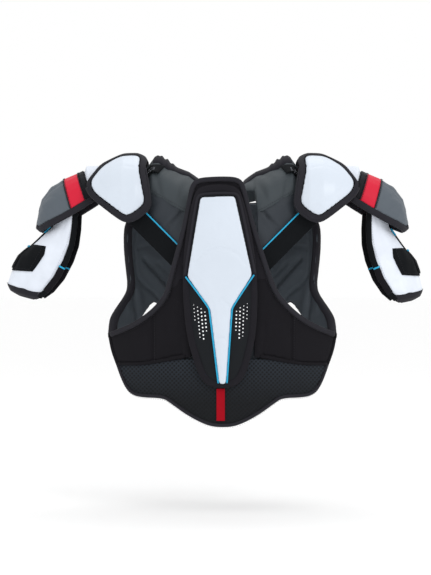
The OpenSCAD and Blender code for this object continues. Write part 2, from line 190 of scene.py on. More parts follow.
def fabric(name, colour, pitch=0.0011, depth=0.00012, sheen=0.02, rough=0.85, fuzz=0.00015, spec=0.12):
    """Knit or woven cloth: a fine thread grid over a slightly uneven surface."""
    m, t, b, where, _ = base_material(name, colour, rough, sheen=sheen, spec=spec)
    lump = node_of(t, "ShaderNodeTexNoise", in_Scale=160.0, in_Detail=4.0)
    t.links.new(where.outputs["Object"], lump.inputs["Vector"])
    under = bump(t, b, lump.outputs["Fac"], fuzz)
    bump(t, b, lattice(t, where, pitch, True), depth, 0.8, under)
    return m


def moulded(name, colour, rough=0.42, coat=0.0, grain=0.00004, vary=0.05, spec=0.25):
    """Moulded plastic or skinned foam with a fine grain."""
    m, t, b, where, _ = base_material(name, colour, rough, coat=coat, spec=spec, vary=vary, vary_size=0.08)
    fine = node_of(t, "ShaderNodeTexNoise", in_Scale=1400.0, in_Detail=2.0)
    wide = node_of(t, "ShaderNodeTexNoise", in_Scale=45.0, in_Detail=2.0)
    for n in (fine, wide):
        t.links.new(where.outputs["Object"], n.inputs["Vector"])
    under = bump(t, b, wide.outputs["Fac"], 0.0006, 0.5)
    bump(t, b, fine.outputs["Fac"], grain, 0.8, under)
    return m


NET_PITCH = 0.0076      # between the embossed net's rows
NET_SHADE_LOW, NET_SHADE_HIGH = -0.425, -0.350      # painted shade: the net's lighter tone fades to the dark pit colour between these heights, darker towards the bottom


def embossed(name, pit, net):
    """Sheared knit pressed in a diamond net; the net's lighter tone is partly its own colour, partly painted
    sheen, and fades towards the bottom of the pad as painted shade.
    """
    m, t, b, where, cloud = base_material(name, net, 0.7, sheen=0.03, spec=0.2)
    xyz = node_of(t, "ShaderNodeSeparateXYZ")
    t.links.new(where.outputs["Object"], xyz.inputs[0])
    # Painted shade: by height, the net's tone gives way to the dark pit colour towards the bottom of the pad
    fade = node_of(t, "ShaderNodeMapRange", in_From_Min=NET_SHADE_LOW, in_From_Max=NET_SHADE_HIGH, in_To_Min=0.12,
                   in_To_Max=0.95)
    t.links.new(xyz.outputs["Z"], fade.inputs["Value"])
    edge = node_of(t, "ShaderNodeMapRange", in_From_Min=0.74, in_From_Max=0.50)
    t.links.new(lattice(t, where, NET_PITCH), edge.inputs["Value"])
    tone = node_of(t, "ShaderNodeMix", data_type="RGBA")
    tone.inputs[6].default_value = (*pit, 1)
    factor = math_node(t, "MULTIPLY", edge.outputs["Result"], fade.outputs["Result"])
    t.links.new(factor, tone.inputs["Factor"])
    t.links.new(cloud.outputs[2], tone.inputs[7])
    t.links.new(tone.outputs[2], b.inputs["Base Color"])
    bump(t, b, lattice(t, where, 0.0009, True), 0.0001)
    return m


MATS = {
    # Moulded shells, plates and skinned foam
    "white_shell": moulded("white_shell", (0.62, 0.68, 0.76), rough=0.36, coat=0.1, spec=0.4),
    "dark_shell": moulded("dark_shell", (0.0042, 0.0058, 0.008), rough=0.5, spec=0.16),
    "band_grey": moulded("band_grey", (0.0065, 0.007, 0.0095), rough=0.6, spec=0.15),
    "grey_shell": moulded("grey_shell", (0.092, 0.110, 0.130), rough=0.55, grain=0.00008),
    "red_shell": moulded("red_shell", (0.62, 0.011, 0.038), rough=0.5, spec=0.2),
    "grey_foam": moulded("grey_foam", (0.060, 0.072, 0.086), rough=0.62, grain=0.00012, vary=0.12),
    "yoke_foam": moulded("yoke_foam", (0.043, 0.053, 0.060), rough=0.6, grain=0.00012, vary=0.14),
    "skirt_foam": moulded("skirt_foam", (0.028, 0.034, 0.042), rough=0.6, grain=0.00012, vary=0.2),
    "dot_white": moulded("dot_white", (0.95, 0.96, 0.98), rough=0.4),
    "cyan_piping": moulded("cyan_piping", (0.018, 0.35, 0.58), rough=0.45),
    # Cloth, tape and thread
    "white_fabric": fabric("white_fabric", (0.73, 0.775, 0.855), pitch=0.0016, depth=0.00006, rough=0.6,
                           fuzz=0.0001, spec=0.25),
    "black_padding": fabric("black_padding", (0.0076, 0.0070, 0.0092), pitch=0.0018, depth=0.00015),
    "border_padding": fabric("border_padding", (0.0120, 0.0112, 0.0145), pitch=0.0018, depth=0.00015),
    # The embossed net's lighter tone is partly painted sheen, with painted shade towards the bottom
    "embossed_mesh": embossed("embossed_mesh", (0.0035, 0.004, 0.005), (0.018, 0.024, 0.033)),
    "red_fabric": fabric("red_fabric", (0.33, 0.002, 0.010), pitch=0.0012),
    "binding": fabric("binding", (0.019, 0.0185, 0.0235), pitch=0.0013, depth=0.0001, sheen=0.04, spec=0.15),
    "webbing": fabric("webbing", (0.0035, 0.0045, 0.0058), pitch=0.0022, depth=0.0003, sheen=0.0, rough=0.8),
    "thread": fabric("thread", (0.03, 0.03, 0.036), pitch=0.0006),
    "white_thread": fabric("white_thread", (0.5, 0.53, 0.58), pitch=0.0006),
}


# ---------------------------------------------------------------- mesh tools
def shade_smooth(me):
    """Marks every face of the mesh as smooth."""
    me.polygons.foreach_set("use_smooth", [True] * len(me.polygons))


def make(name, points, faces, mat):
    """A smooth-shaded mesh object in one of the materials."""
    me = bpy.data.meshes.new(name)
    me.from_pydata([tuple(p) for p in points], [], faces)
    me.validate()
    shade_smooth(me)
    o = bpy.data.objects.new(name, me)
    bpy.context.scene.collection.objects.link(o)
    me.materials.append(MATS[mat])
    o["mat"] = mat
    return o


def coords(o):
    """The mesh's points as rows of an array."""
    co = np.empty(len(o.data.vertices) * 3)
    o.data.vertices.foreach_get("co", co)
    return co.reshape(-1, 3)


def set_coords(o, co):
    """Moves the mesh's points to these places."""
    o.data.vertices.foreach_set("co", np.ascontiguousarray(co).ravel())
    o.data.update()


def normals(o):
    """The normals at the mesh's points, as rows of an array."""
    n = np.empty(len(o.data.vertices) * 3)
    o.data.vertices.foreach_get("normal", n)
    return n.reshape(-1, 3)


def apply_all(o):
    """Bakes the object's modifiers into a fresh mesh."""
    dg = bpy.context.evaluated_depsgraph_get()
    me = bpy.data.meshes.new_from_object(o.evaluated_get(dg))
    old = o.data
    o.modifiers.clear()
    o.data = me
    bpy.data.meshes.remove(old)


def merged(name, nodes, mat):
    """One mesh holding these CAD nodes' surfaces."""
    points, faces = [], []
    for n in nodes:
        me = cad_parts[n].data
        base = len(points)
        points += [v.co.copy() for v in me.vertices]
        faces += [[base + i for i in p.vertices] for p in me.polygons]
    return make(name, points, faces, mat)


def remeshed(name, nodes, mat, voxel, rounds=2):
    """The CAD nodes as one even mesh with softened edges."""
    o = merged(name, nodes, mat)
    w = o.modifiers.new("w", "WELD")
    w.merge_threshold = 1e-5
    r = o.modifiers.new("r", "REMESH")
    r.mode, r.voxel_size = "VOXEL", voxel
    s = o.modifiers.new("s", "SMOOTH")
    s.iterations, s.factor = rounds, 0.5
    apply_all(o)
    shade_smooth(o.data)
    if not o.data.materials:
        o.data.materials.append(MATS[mat])
    return o


# The axes the curved sheets and the caps turn about; None runs along the axis
AXES = {"back": (0, PANEL_AXIS, None), "chest": (0, -PANEL_AXIS, None), "cap": (None, 0, CAP_Z)}


def from_axis(kind, side=1.0):
    """A function giving the outward direction at points (n by 3), for each family of curved shapes."""
    def turned(co):
        axis = [co[:, i] if v is None else np.full(len(co), v) for i, v in enumerate(AXES[kind])]
        return co - np.column_stack(axis)

    def dome(co):
        edges = [Vector((e[0] * MM - 0.01, 0, e[1] * MM)) for e, _, _ in {"guard": GUARD, "flap": FLAP}[kind]]
        line = np.array([placed(e, side, kind == "flap") for e in edges])
        return co - line[np.argmin(((co[:, None, :] * (1, 0, 1) - line[None]) ** 2).sum(2), 1)]

    def unit(co):
        d = (turned if kind in AXES else dome)(co)
        return d / np.linalg.norm(d, axis=1, keepdims=True)
    return unit


def path_distance(co, path):
    """Each point's distance from a polyline."""
    best = np.full(len(co), 1e9)
    for a, b in zip(path[:-1], path[1:]):
        a, b = np.array(a), np.array(b)
        d = b - a
        t = np.clip(((co - a) @ d) / max(d @ d, 1e-12), 0, 1)
        best = np.minimum(best, np.linalg.norm(co - a - t[:, None] * d, axis=1))
    return best


def groove(o, out, path, width, depth):
    """Presses a soft line into the outer face, or raises it where depth is negative."""
    co, n = coords(o), normals(o)
    d = out(co)
    facing = np.clip(((n * d).sum(1) - 0.2) / 0.5, 0, 1)
    fall = np.exp(-((path_distance(co, path) / width) ** 2))
    set_coords(o, co - d * (fall * facing * depth)[:, None])


PUFF_FRAMES = 15


def puff(o, out, seams=(), pressure=4.0, travel=0.004):
    """Fills a pad with air in a short cloth simulation: its back and its seams stay put, its face swells."""
    start, n = coords(o), normals(o)
    d = out(start)
    facing = (n * d).sum(1)
    pin = np.where(facing < 0.25, 1.0, 0.0)
    for path in seams:
        pin = np.maximum(pin, (path_distance(start, path) < 0.0035).astype(float))
    group = o.vertex_groups.new(name="pin")
    for k in np.nonzero(pin > 0)[0]:
        group.add([int(k)], float(pin[k]), "REPLACE")
    cloth = o.modifiers.new("cloth", "CLOTH")
    c = cloth.settings
    c.quality, c.mass = 5, 0.3
    c.tension_stiffness = c.compression_stiffness = 14
    c.bending_stiffness = 1.2
    c.use_pressure, c.uniform_pressure_force = True, pressure
    c.vertex_group_mass = "pin"
    c.effector_weights.gravity = 0
    cloth.point_cache.frame_start, cloth.point_cache.frame_end = 1, 20
    cloth.collision_settings.use_collision = False
    for f in range(1, PUFF_FRAMES + 1):
        bpy.context.scene.frame_set(f)
    apply_all(o)
    bpy.context.scene.frame_set(1)
    move = coords(o) - start
    size = np.linalg.norm(move, axis=1, keepdims=True)
    move *= np.minimum(1, travel / np.maximum(size, 1e-9))
    set_coords(o, start + move)
    shade_smooth(o.data)
    o.vertex_groups.clear()


def smoothed(points, closed=False, rounds=2):
    """Chaikin corner cutting."""
    p = [Vector(q) for q in points]
    for _ in range(rounds):
        pairs = list(zip(p, p[1:] + p[:1])) if closed else list(zip(p[:-1], p[1:]))
        q = [x for a, b in pairs for x in (a.lerp(b, 0.25), a.lerp(b, 0.75))]
        p = q if closed else [p[0], *q[1:-1], p[-1]]
    return p


def spaced(points, step, closed=False):
    """The polyline resampled to an even step."""
    p = [Vector(q) for q in points] + ([Vector(points[0])] if closed else [])
    run = [0.0]
    for a, b in zip(p[:-1], p[1:]):
        run.append(run[-1] + (b - a).length)
    count = max(2, round(run[-1] / step))
    out, j = [], 0
    for k in range(count if closed else count + 1):
        s = run[-1] * k / count
        while j < len(run) - 2 and run[j + 1] < s:
            j += 1
        span = max(run[j + 1] - run[j], 1e-9)
        out.append(p[j].lerp(p[j + 1], (s - run[j]) / span))
    return out


def square_to(t, up):
    """The outward and the sideways direction at right angles to a path's direction t."""
    u = Vector(up)
    u = (u - t * u.dot(t)).normalized()
    return u, t.cross(u)


def sweep(name, path, up, width, thick, mat, closed=False, square=0.7, ripple=0.0):
    """A rounded tape along path; up(point) is the outward direction. width runs across, thick outward."""
    ring, n = 14, len(path)
    pts, faces = [], []
    for i, p in enumerate(path):
        a = path[(i - 1) % n] if closed or i else path[0]
        b = path[(i + 1) % n] if closed or i < n - 1 else path[-1]
        t = (b - a).normalized()
        u, s = square_to(t, up(p))
        swell = 1 + ripple * math.sin(i * 1.7) * math.sin(i * 0.61 + 1)
        for k in range(ring):
            q = 2 * math.pi * k / ring
            cs, sn = math.cos(q), math.sin(q)
            x = math.copysign(abs(cs) ** square, cs) * width / 2
            y = math.copysign(abs(sn) ** square, sn) * thick / 2 * swell
            pts.append(p + s * x + u * y)
    for i in range(n if closed else n - 1):
        j = (i + 1) % n
        for k in range(ring):
            m = (k + 1) % ring
            faces.append((i * ring + k, j * ring + k, j * ring + m, i * ring + m))
    if not closed:
        faces += [tuple(range(ring)), tuple(reversed(range((n - 1) * ring, n * ring)))]
    return make(name, pts, faces, mat)


def slab(name, outer, inner, mat):
    """A closed soft sheet between two grids of points with the same rows and columns."""
    rows, cols = len(outer), len(outer[0])
    count = rows * cols
    pts = [p for row in outer for p in row] + [p for row in inner for p in row]
    faces = []
    for i in range(rows - 1):
        for j in range(cols - 1):
            a, b = i * cols + j, (i + 1) * cols + j
            faces += [(a, a + 1, b + 1, b), (b + count, b + 1 + count, a + 1 + count, a + count)]
    for j in range(cols - 1):
        a, b = j, (rows - 1) * cols + j
        faces += [(a + 1, a, a + count, a + 1 + count), (b, b + 1, b + 1 + count, b + count)]
    for i in range(rows - 1):
        a, b = i * cols, i * cols + cols - 1
        faces += [(a, a + cols, a + cols + count, a + count), (b + cols, b, b + count, b + cols + count)]
    return make(name, pts, faces, mat)


def sided_slab(name, outer, inner, mat, k):
    """A slab whose grids are given for the right side; the left side's mirrored grids change places."""
    return slab(name, *((outer, inner) if k > 0 else (inner, outer)), mat)


def sheet(name, rows, columns, high, low, mat, k):
    """A sided slab over a grid: high and low give its outer and inner points at each row and column."""
    outer, inner = ([[face(u, v) for v in columns] for u in rows] for face in (high, low))
    return sided_slab(name, outer, inner, mat, k)


def stitches(name, path, up, mat="thread", pitch=0.0045, length=0.0026, off=0.0, lift=0.0, r=0.00035):
    """A run of short threads standing a little proud of the surface along path."""
    run = spaced(path, pitch)
    ring = 5
    pts, faces = [], []
    for i in range(len(run) - 1):
        p = run[i].lerp(run[i + 1], 0.5)
        t = (run[i + 1] - run[i]).normalized()
        u, s = square_to(t, up(p))
        base = len(pts)
        for along, size, rise in ((-0.5, 0.4, -0.5), (-0.25, 1, 0.4), (0.25, 1, 0.4), (0.5, 0.4, -0.5)):
            for k in range(ring):
                q = 2 * math.pi * k / ring
                pts.append(p + t * (along * length) + s * (off + math.cos(q) * r * size)
                           + u * (lift + rise * r + math.sin(q) * r * size))
        for a in range(base, base + 3 * ring, ring):
            for k in range(ring):
                m = (k + 1) % ring
                faces.append((a + k, a + m, a + ring + m, a + ring + k))
        faces.append(tuple(base + k for k in reversed(range(ring))))
        faces.append(tuple(base + 3 * ring + k for k in range(ring)))
    return make(name, pts, faces, mat)


def declared(replaces):
    """Hides the CAD nodes that a piece stands for."""
    if replaces:
        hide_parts(*replaces)


def seated(o, body, replaces=()):
    """Puts a finished piece on its body and hides the CAD nodes it stands for."""
    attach(o, body)
    declared(replaces)


def tape(body, *args, replaces=(), pad=None, **shape):
    """A sweep seated on its body."""
    seated(sweep(*args, **shape), body, replaces)


def sewn(body, *args, **shape):
    """A run of stitches seated on its body."""
    seated(stitches(*args, **shape), body)


def bent(o, a, b, start, end, replaces=()):
    """Bakes a finished piece's placement into its mesh and hides the CAD nodes it stands for; the bodies a
    and b and the points start and end are not used.
    """
    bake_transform(o)
    declared(replaces)


def flat_path(points, r, side, k=1, lean=False, closed=False, rounds=2):
    """A right-hand (x, z) outline in millimetres laid on a curved sheet of radius r; k -1 mirrors it."""
    line = []
    for x, z in points:
        x, z = x * k * MM, z * MM
        if lean:
            x, z = leaned(x, z)
        line.append(Vector((x, 0, z)))
    return [on_sheet(p.x, p.z, r, side) for p in spaced(smoothed(line, closed, rounds), 0.004, closed)]


def sheet_up(side):
    """The outward direction on the back's or the chest's sheet."""
    return lambda p: Vector((p.x, p.y + side * PANEL_AXIS, 0)).normalized()


def grooved(o, out, lines, *, r, side, k=1, lean=False):
    """Presses each (outline, width, depth) into a piece, its outline laid on the sheet of radius r."""
    for points, width, depth in lines:
        groove(o, out, flat_path(points, r, side, k, lean), width, depth)


# ---------------------------------------------------------------- the back
UP_BACK, UP_CHEST = sheet_up(-1), sheet_up(1)
OUT_BACK, OUT_CHEST, OUT_CAP = from_axis("back"), from_axis("chest"), from_axis("cap")


def both(points, shared=0):
    """The right half's points followed by the left half's; the last shared ones lie on the middle."""
    return points + [(-x, z) for x, z in reversed(points[:len(points) - shared])]


def offset_path(path, side, r, by):
    """The path on a sheet moved sideways by a distance, seen from behind."""
    n, out = len(path), []
    for i, p in enumerate(path):
        a, b = path[max(i - 1, 0)], path[min(i + 1, n - 1)]
        t = Vector((b.x - a.x, 0, b.z - a.z)).normalized()
        out.append(on_sheet(p.x - t.z * by, p.z + t.x * by, r, side))
    return out


seated(remeshed("back_liner_foam", ["back_liner"], "grey_foam", 0.0045), "back", ["back_liner"])

spine_seam = [(45, -60), (58, -140), (66, -200), (70, -222)]
spine_seams = [flat_path(spine_seam, R_SHELL, -1, k, True) for k in (1, -1)]
spine = remeshed("spine_base", ["spine_pad"], "border_padding", 0.0045)
puff(spine, OUT_BACK, spine_seams, travel=0.002)
seated(spine, "back", ["spine_pad"])

# Outer binding: one tape up from the right wing, over the collar and down to the left wing.
EDGE_RIGHT = [(201, -305), (176, -295.5), (151, -283.5), (125, -264.5), (106, -245), (95, -228), (87.5, -205),
              (80, -180), (68, -140), (56.5, -100), (48, -58), (42, -36), (30, -30.5), (8, -29.5)]
# Below FADE_LOW (millimetres) the tape is upright like the wings; FADE_SPAN higher it leans with the guard
FADE_LOW, FADE_SPAN = -262, 45
edge = []
for x, z in both(EDGE_RIGHT):
    x, z = x * MM, z * MM
    k = min(1, max(0, (z * 1000 - FADE_LOW) / FADE_SPAN))
    lx, lz = leaned(x, z)
    edge.append(Vector((x + (lx - x) * k, 0, z + (lz - z) * k)))
edge = [on_sheet(p.x, p.z, R_SHELL + 0.0005, -1) for p in spaced(smoothed(edge, rounds=3), 0.004)]
tape("back", "back_edge_binding", edge, UP_BACK, 0.0092, 0.0085, "binding", ripple=0.03,
     replaces=["spine_border", "wing_binding"])
for k, (by, lift) in enumerate(((-0.0028, 0.0032), (0.0062, 0.0006))):
    line = offset_path(edge[6:-6], -1, R_SHELL + 0.0002, by)
    sewn("back", f"back_edge_stitch_{k}", line, UP_BACK, lift=lift)

# The padded middle roll round the shell, and the thin inner roll beside the upper plate.
roll_line = [(27, -45.5), (38.5, -63), (54.5, -141), (60.5, -222), (55.5, -299), (45, -343), (33.5, -376),
             (18, -391)]
roll = flat_path(both(roll_line), R_SPINE + 0.001, -1, lean=True, closed=True, rounds=3)
tape("back", "middle_roll", roll, UP_BACK, 0.0132, 0.0088, "border_padding", closed=True, ripple=0.04,
     replaces=["spine_frame"], pad=0.8)
inner = [(66, -198), (61, -170), (50, -112), (40.5, -66), (36, -56.5), (20, -55), (0, -55)]
inner = flat_path(both(inner, 1), R_SPINE + 0.0035, -1, lean=True, rounds=3)
tape("back", "inner_roll", [on_sheet(p.x * 0.93, p.z, R_SPINE + 0.0035, -1) for p in inner], UP_BACK,
     0.0052, 0.0055, "binding")
line = [on_sheet(p.x * 1.02, p.z + 0.002, R_SPINE + 0.0045, -1) for p in inner[4:-4]]
sewn("back", "inner_roll_stitch", line, UP_BACK)

shell = remeshed("spine_lower_shell", ["spine_shell"], "dark_shell", 0.0022)
FLUTES = (([(49, -205), (51, -232), (48, -290), (40, -338), (27, -377)], 0.0035, 0.0009),
          ([(36, -236), (31, -262), (27, -300), (22, -345)], 0.012, -0.0012))
for k in (1, -1):
    grooved(shell, OUT_BACK, FLUTES, r=R_PLATE, side=-1, k=k, lean=True)
seated(shell, "back", ["spine_shell"])


def dots(name, spots, r, side, mat):
    """Small domed studs laid on a curved sheet and leaned: each spot is [x, z, radius] in millimetres."""
    count = 10
    pts, faces = [], []
    for x, z, size in spots:
        c = on_sheet(*leaned(x * MM, z * MM), r, side)
        u = Vector((c.x, c.y + side * PANEL_AXIS, 0)).normalized()
        s = Vector((0, 0, 1)).cross(u).normalized()
        w = u.cross(s)
        base = len(pts)
        for level, rise in ((1, 0), (0.8, 0.25), (0.4, 0.4)):
            for k in range(count):
                q = 2 * math.pi * k / count
                across = s * math.cos(q) + w * math.sin(q)
                pts.append(c + across * size * MM * level + u * (rise * size * MM))
        for a in range(base, base + 2 * count, count):
            for k in range(count):
                m = (k + 1) % count
                faces.append((a + k, a + m, a + count + m, a + count + k))
        faces.append(tuple(base + 2 * count + k for k in range(count)))
    return make(name, pts, faces, mat)


# Each column of dots: top and bottom heights, and the dots' radius
DOT_COLUMNS = ((-263, -297, 1.55), (-257, -315, 1.45), (-254, -308, 1.25), (-250, -283, 0.95))
DOT_GAP_X, DOT_GAP_Z = 6.2, 6.6
spots = []
for k in (1, -1):
    for column, (top, bottom, size) in enumerate(DOT_COLUMNS):
        z = top
        while z > bottom:
            near_end = min(top - z, z - bottom) < 5
            x = 26.5 + column * DOT_GAP_X + (z + 285) * 0.06
            spots.append((k * x, z, size * (0.7 if near_end else 1)))
            z -= DOT_GAP_Z
seated(dots("vent_dots", spots, R_PLATE + 0.0006, -1, "dot_white"), "back")

plate = remeshed("spine_white_plate", ["spine_plate"], "white_shell", 0.0017, rounds=3)
co = coords(plate)
mid = co[:, 0] + (co[:, 2] - LEAN_PIVOT) * math.tan(LEAN)
width = np.interp(co[:, 2], [-0.39, -0.257, -0.2, -0.061], [0.006, 0.0185, 0.057, 0.030])
co += OUT_BACK(co) * (0.0028 * np.clip(1 - (mid / width) ** 2, 0, 1) * np.clip(width / 0.03, 0.2, 1))[:, None]
set_coords(plate, co)
ARCS = [([(-44, -176), (-30, -160), (-8, -152), (12, -152), (32, -162), (46, -180)], 0.003, 0.0010),
        ([(-15, -254), (-9, -245), (0, -242), (9, -245), (15, -254)], 0.003, 0.0010),
        ([(-11, -318), (-6, -311), (0, -309), (6, -311), (11, -318)], 0.003, 0.0010)]
RIDGE = [([(49, -190), (26, -214), (9, -246), (3, -300), (0, -382)], 0.006, -0.0006)]
for k, lines in ((1, ARCS), (-1, RIDGE), (1, RIDGE)):
    grooved(plate, OUT_BACK, lines, r=R_PLATE + 0.006, side=-1, k=k, lean=True)
seated(plate, "back", ["spine_plate"])
for side, k in SIDES.items():
    pipe = [(60.2, -200), (45, -221), (21, -255.5), (19.6, -262), (7.6, -388.5)]
    pipe = flat_path(pipe, R_PLATE + 0.0025, -1, k, True, rounds=1)
    tape("back", f"plate_piping_{side}", pipe, UP_BACK, 0.0030, 0.0038, "cyan_piping", square=0.9,
         replaces=["spine_piping"] if k > 0 else ())

# ---- wings, lumbar band and tab
for side, k in SIDES.items():
    seam = flat_path([(125, -268), (124, -300), (124, -352)], R_SHELL, -1, k)
    fold = flat_path([(98, -238), (93, -280), (84, -342)], R_SHELL, -1, k)
    top = flat_path([(95, -236), (122, -270), (150, -290), (196, -311)], R_SHELL, -1, k)
    wing = remeshed(f"wing_pad_{side}", [f"back_wing_{side}"], "black_padding", 0.0042)
    puff(wing, OUT_BACK, [seam, top], travel=0.0035)
    groove(wing, OUT_BACK, seam, 0.0030, 0.0034)
    groove(wing, OUT_BACK, fold, 0.008, 0.0008)
    seated(wing, "back", [f"back_wing_{side}"])
    line = offset_path(seam, -1, R_SHELL + 0.0008, 0.003)
    sewn("back", f"wing_seam_stitch_{side}", line, UP_BACK)
    side_hem = [(202.5, -303), (201, -315), (196.5, -335), (190, -352), (186, -362), (178, -381),
                (168.5, -400)]
    side_hem = flat_path(side_hem, R_SHELL - 0.005, -1, k)
    tape("back", f"wing_side_hem_{side}", side_hem, UP_BACK, 0.0068, 0.0108, "black_padding", ripple=0.02)
    nub = flat_path([(204.5, -303), (204, -311)], R_SHELL - 0.001, -1, k)
    tape("back", f"wing_nub_{side}", nub, UP_BACK, 0.0045, 0.006, "webbing")

# Padding between the spine guard and the wings; its width (metres) changes with height
BRIDGE = ([-0.344, -0.300, -0.248, -0.236, -0.224, -0.206], [0.014, 0.020, 0.026, 0.038, 0.036, 0.024])
for side, k in SIDES.items():
    x_at = lambda i, z: k * (0.056 + np.interp(z, *BRIDGE) * i / 13)
    bridge = sheet(f"wing_bridge_{side}", range(14), [-0.206 - 0.138 * j / 35 for j in range(36)],
                   lambda i, z: on_sheet(x_at(i, z), z, 0.2990 + 0.0012 * math.sin(math.pi * i / 13), -1),
                   lambda i, z: on_sheet(x_at(i, z), z, 0.2935, -1), "black_padding", k)
    seated(bridge, "back")

band = remeshed("lumbar_pad", ["lumbar_band"], "embossed_mesh", 0.0019, rounds=2)
co, n = coords(band), normals(band)
d = OUT_BACK(co)
facing = np.clip(((n * d).sum(1) - 0.5) / 0.4, 0, 1)
wave = np.sin(co[:, 0] * 2 * math.pi / NET_PITCH) * np.sin(co[:, 2] * 2 * math.pi / NET_PITCH) * 0.5 + 0.5
crown = 0.0016 * np.sin(np.clip((co[:, 2] + 0.41) / 0.06, 0, 1) * math.pi)
set_coords(band, co + d * (facing * (crown - 0.0011 * np.clip((wave - 0.5) / 0.3, 0, 1)))[:, None])
for k in (1, -1):
    groove(band, OUT_BACK, flat_path([(123, -352), (120, -380), (119, -413)], R_SHELL, -1, k), 0.0018, 0.0016)
seated(band, "back", ["lumbar_band"])

HEM = [(187, -359), (179, -381), (169.5, -400), (159, -410.5), (142, -414), (104, -414), (90, -423),
       (60, -444.5), (30, -459.5), (14, -463.5), (0, -464)]
hem = flat_path(both(HEM, 1), R_SHELL - 0.0045, -1)
tape("back", "lumbar_binding", hem, UP_BACK, 0.0062, 0.0115, "binding", ripple=0.02,
     replaces=["lumbar_hem"])
sewn("back", "lumbar_hem_stitch", offset_path(hem, -1, R_SHELL - 0.0008, 0.0045), UP_BACK)
top_line = [(187, -358), (150, -357), (122, -352.5), (100, -348), (66, -341)]
for side, k in SIDES.items():
    line = flat_path(top_line, R_SHELL - 0.0012, -1, k)
    tape("back", f"lumbar_top_edge_{side}", line, UP_BACK, 0.0050, 0.0046, "black_padding")
    under = [on_sheet(p.x, p.z, R_SHELL - 0.0060, -1) for p in line]
    tape("back", f"lumbar_joint_{side}", under, UP_BACK, 0.0095, 0.0085, "black_padding", square=0.6)

tab_line = [on_sheet(-0.0035, z * MM, R_SHELL - 0.0012 + 0.0006 * math.sin(z * 0.12), -1)
            for z in np.arange(-398.5, -456, -1.5)]
tape("back", "red_pull_tab", tab_line, UP_BACK, 0.0148, 0.0016, "red_fabric", square=0.25,
     replaces=["red_tab"])
for end, z in enumerate((-401, -453)):
    line = [on_sheet(x * MM, z * MM, R_SHELL - 0.0003, -1) for x in range(-10, 4)]
    sewn("back", f"tab_stitch_{end}", line, UP_BACK, "red_fabric", 0.003, 0.002)

# ---------------------------------------------------------------- yokes, neckline and the straps at the back
# Against x: the yoke's crest height and half depth, where its rear half ends, and where the skirt ends
CREST = ([0.034, 0.060, 0.080, 0.097, 0.116, 0.127, 0.133, 0.141],
         [-0.031, -0.017, -0.009, 0.0, 0.013, 0.0135, 0.006, -0.003])
DEPTH = ([0.034, 0.080, 0.127, 0.133, 0.141], [0.097, 0.097, 0.082, 0.077, 0.070])
YOKE_REAR = ([0.034, 0.058, 0.061, 0.072, 0.125, 0.141], [-0.046, -0.047, -0.088, -0.084, -0.053, -0.045])
SKIRT_END = ([0.060, 0.068, 0.086, 0.115, 0.133, 0.141], [-0.158, -0.155, -0.137, -0.110, -0.098, -0.090])
FOOT = -0.090


def on_yoke(x, angle, lift=0.0):
    """A point on the right yoke: angle -90 at the back's foot, 0 on top, 90 at the front's foot."""
    a = math.radians(angle)
    top, deep = np.interp(x, *CREST) + lift, np.interp(x, *DEPTH) + lift
    return Vector((x, math.sin(a) * deep, FOOT + (top - FOOT) * math.cos(a)))


def yoke_angle(x, z):
    """How far round the yoke height z is, from the crest."""
    return math.degrees(math.acos(min(1, max(0, (z - FOOT) / (np.interp(x, *CREST) - FOOT)))))


def yoke_up(p):
    """The outward direction on a yoke."""
    return Vector((0, p.y, (p.z - FOOT) * 0.95)).normalized()


def yoke_relief(x, a):
    """The yoke's soft swells and folds, outward, at an angle over the shoulder."""
    swell = 0.0030 * math.exp(-((x - 0.092) / 0.018) ** 2 - ((a + 52) / 16) ** 2)
    hollow = -0.0022 * math.exp(-((x - 0.118 - 0.0004 * (a + 50)) / 0.005) ** 2) * (1 if a < -30 else 0.3)
    fold = (-0.0016 * math.exp(-((x - 0.074 + 0.0005 * (a + 60)) / 0.0035) ** 2)
            * math.exp(-((a + 62) / 14) ** 2))
    return swell + hollow + fold + 0.0006 * math.sin(x * 260 + a * 0.12)


def crest_pad(x, t):
    """The dark padded roll on the shoulder: its edge angle, and its height at t from -1 to 1 across it."""
    half = np.interp(x, (0.036, 0.060, 0.080, 0.100, 0.127), (30, 15, 18, 25, 22))
    high = np.interp(x, (0.036, 0.048, 0.062, 0.082, 0.100, 0.116, 0.127),
                     (0.004, 0.007, 0.009, 0.0085, 0.0125, 0.0105, 0.005))
    flutes = 0.0017 * math.cos((x - 0.089) * 2 * math.pi / 0.0105) * math.exp(-((x - 0.103) / 0.017) ** 4)
    return half * t, (high + flutes) * math.sqrt(max(0, 1 - abs(t) ** 2.6)) - 0.001
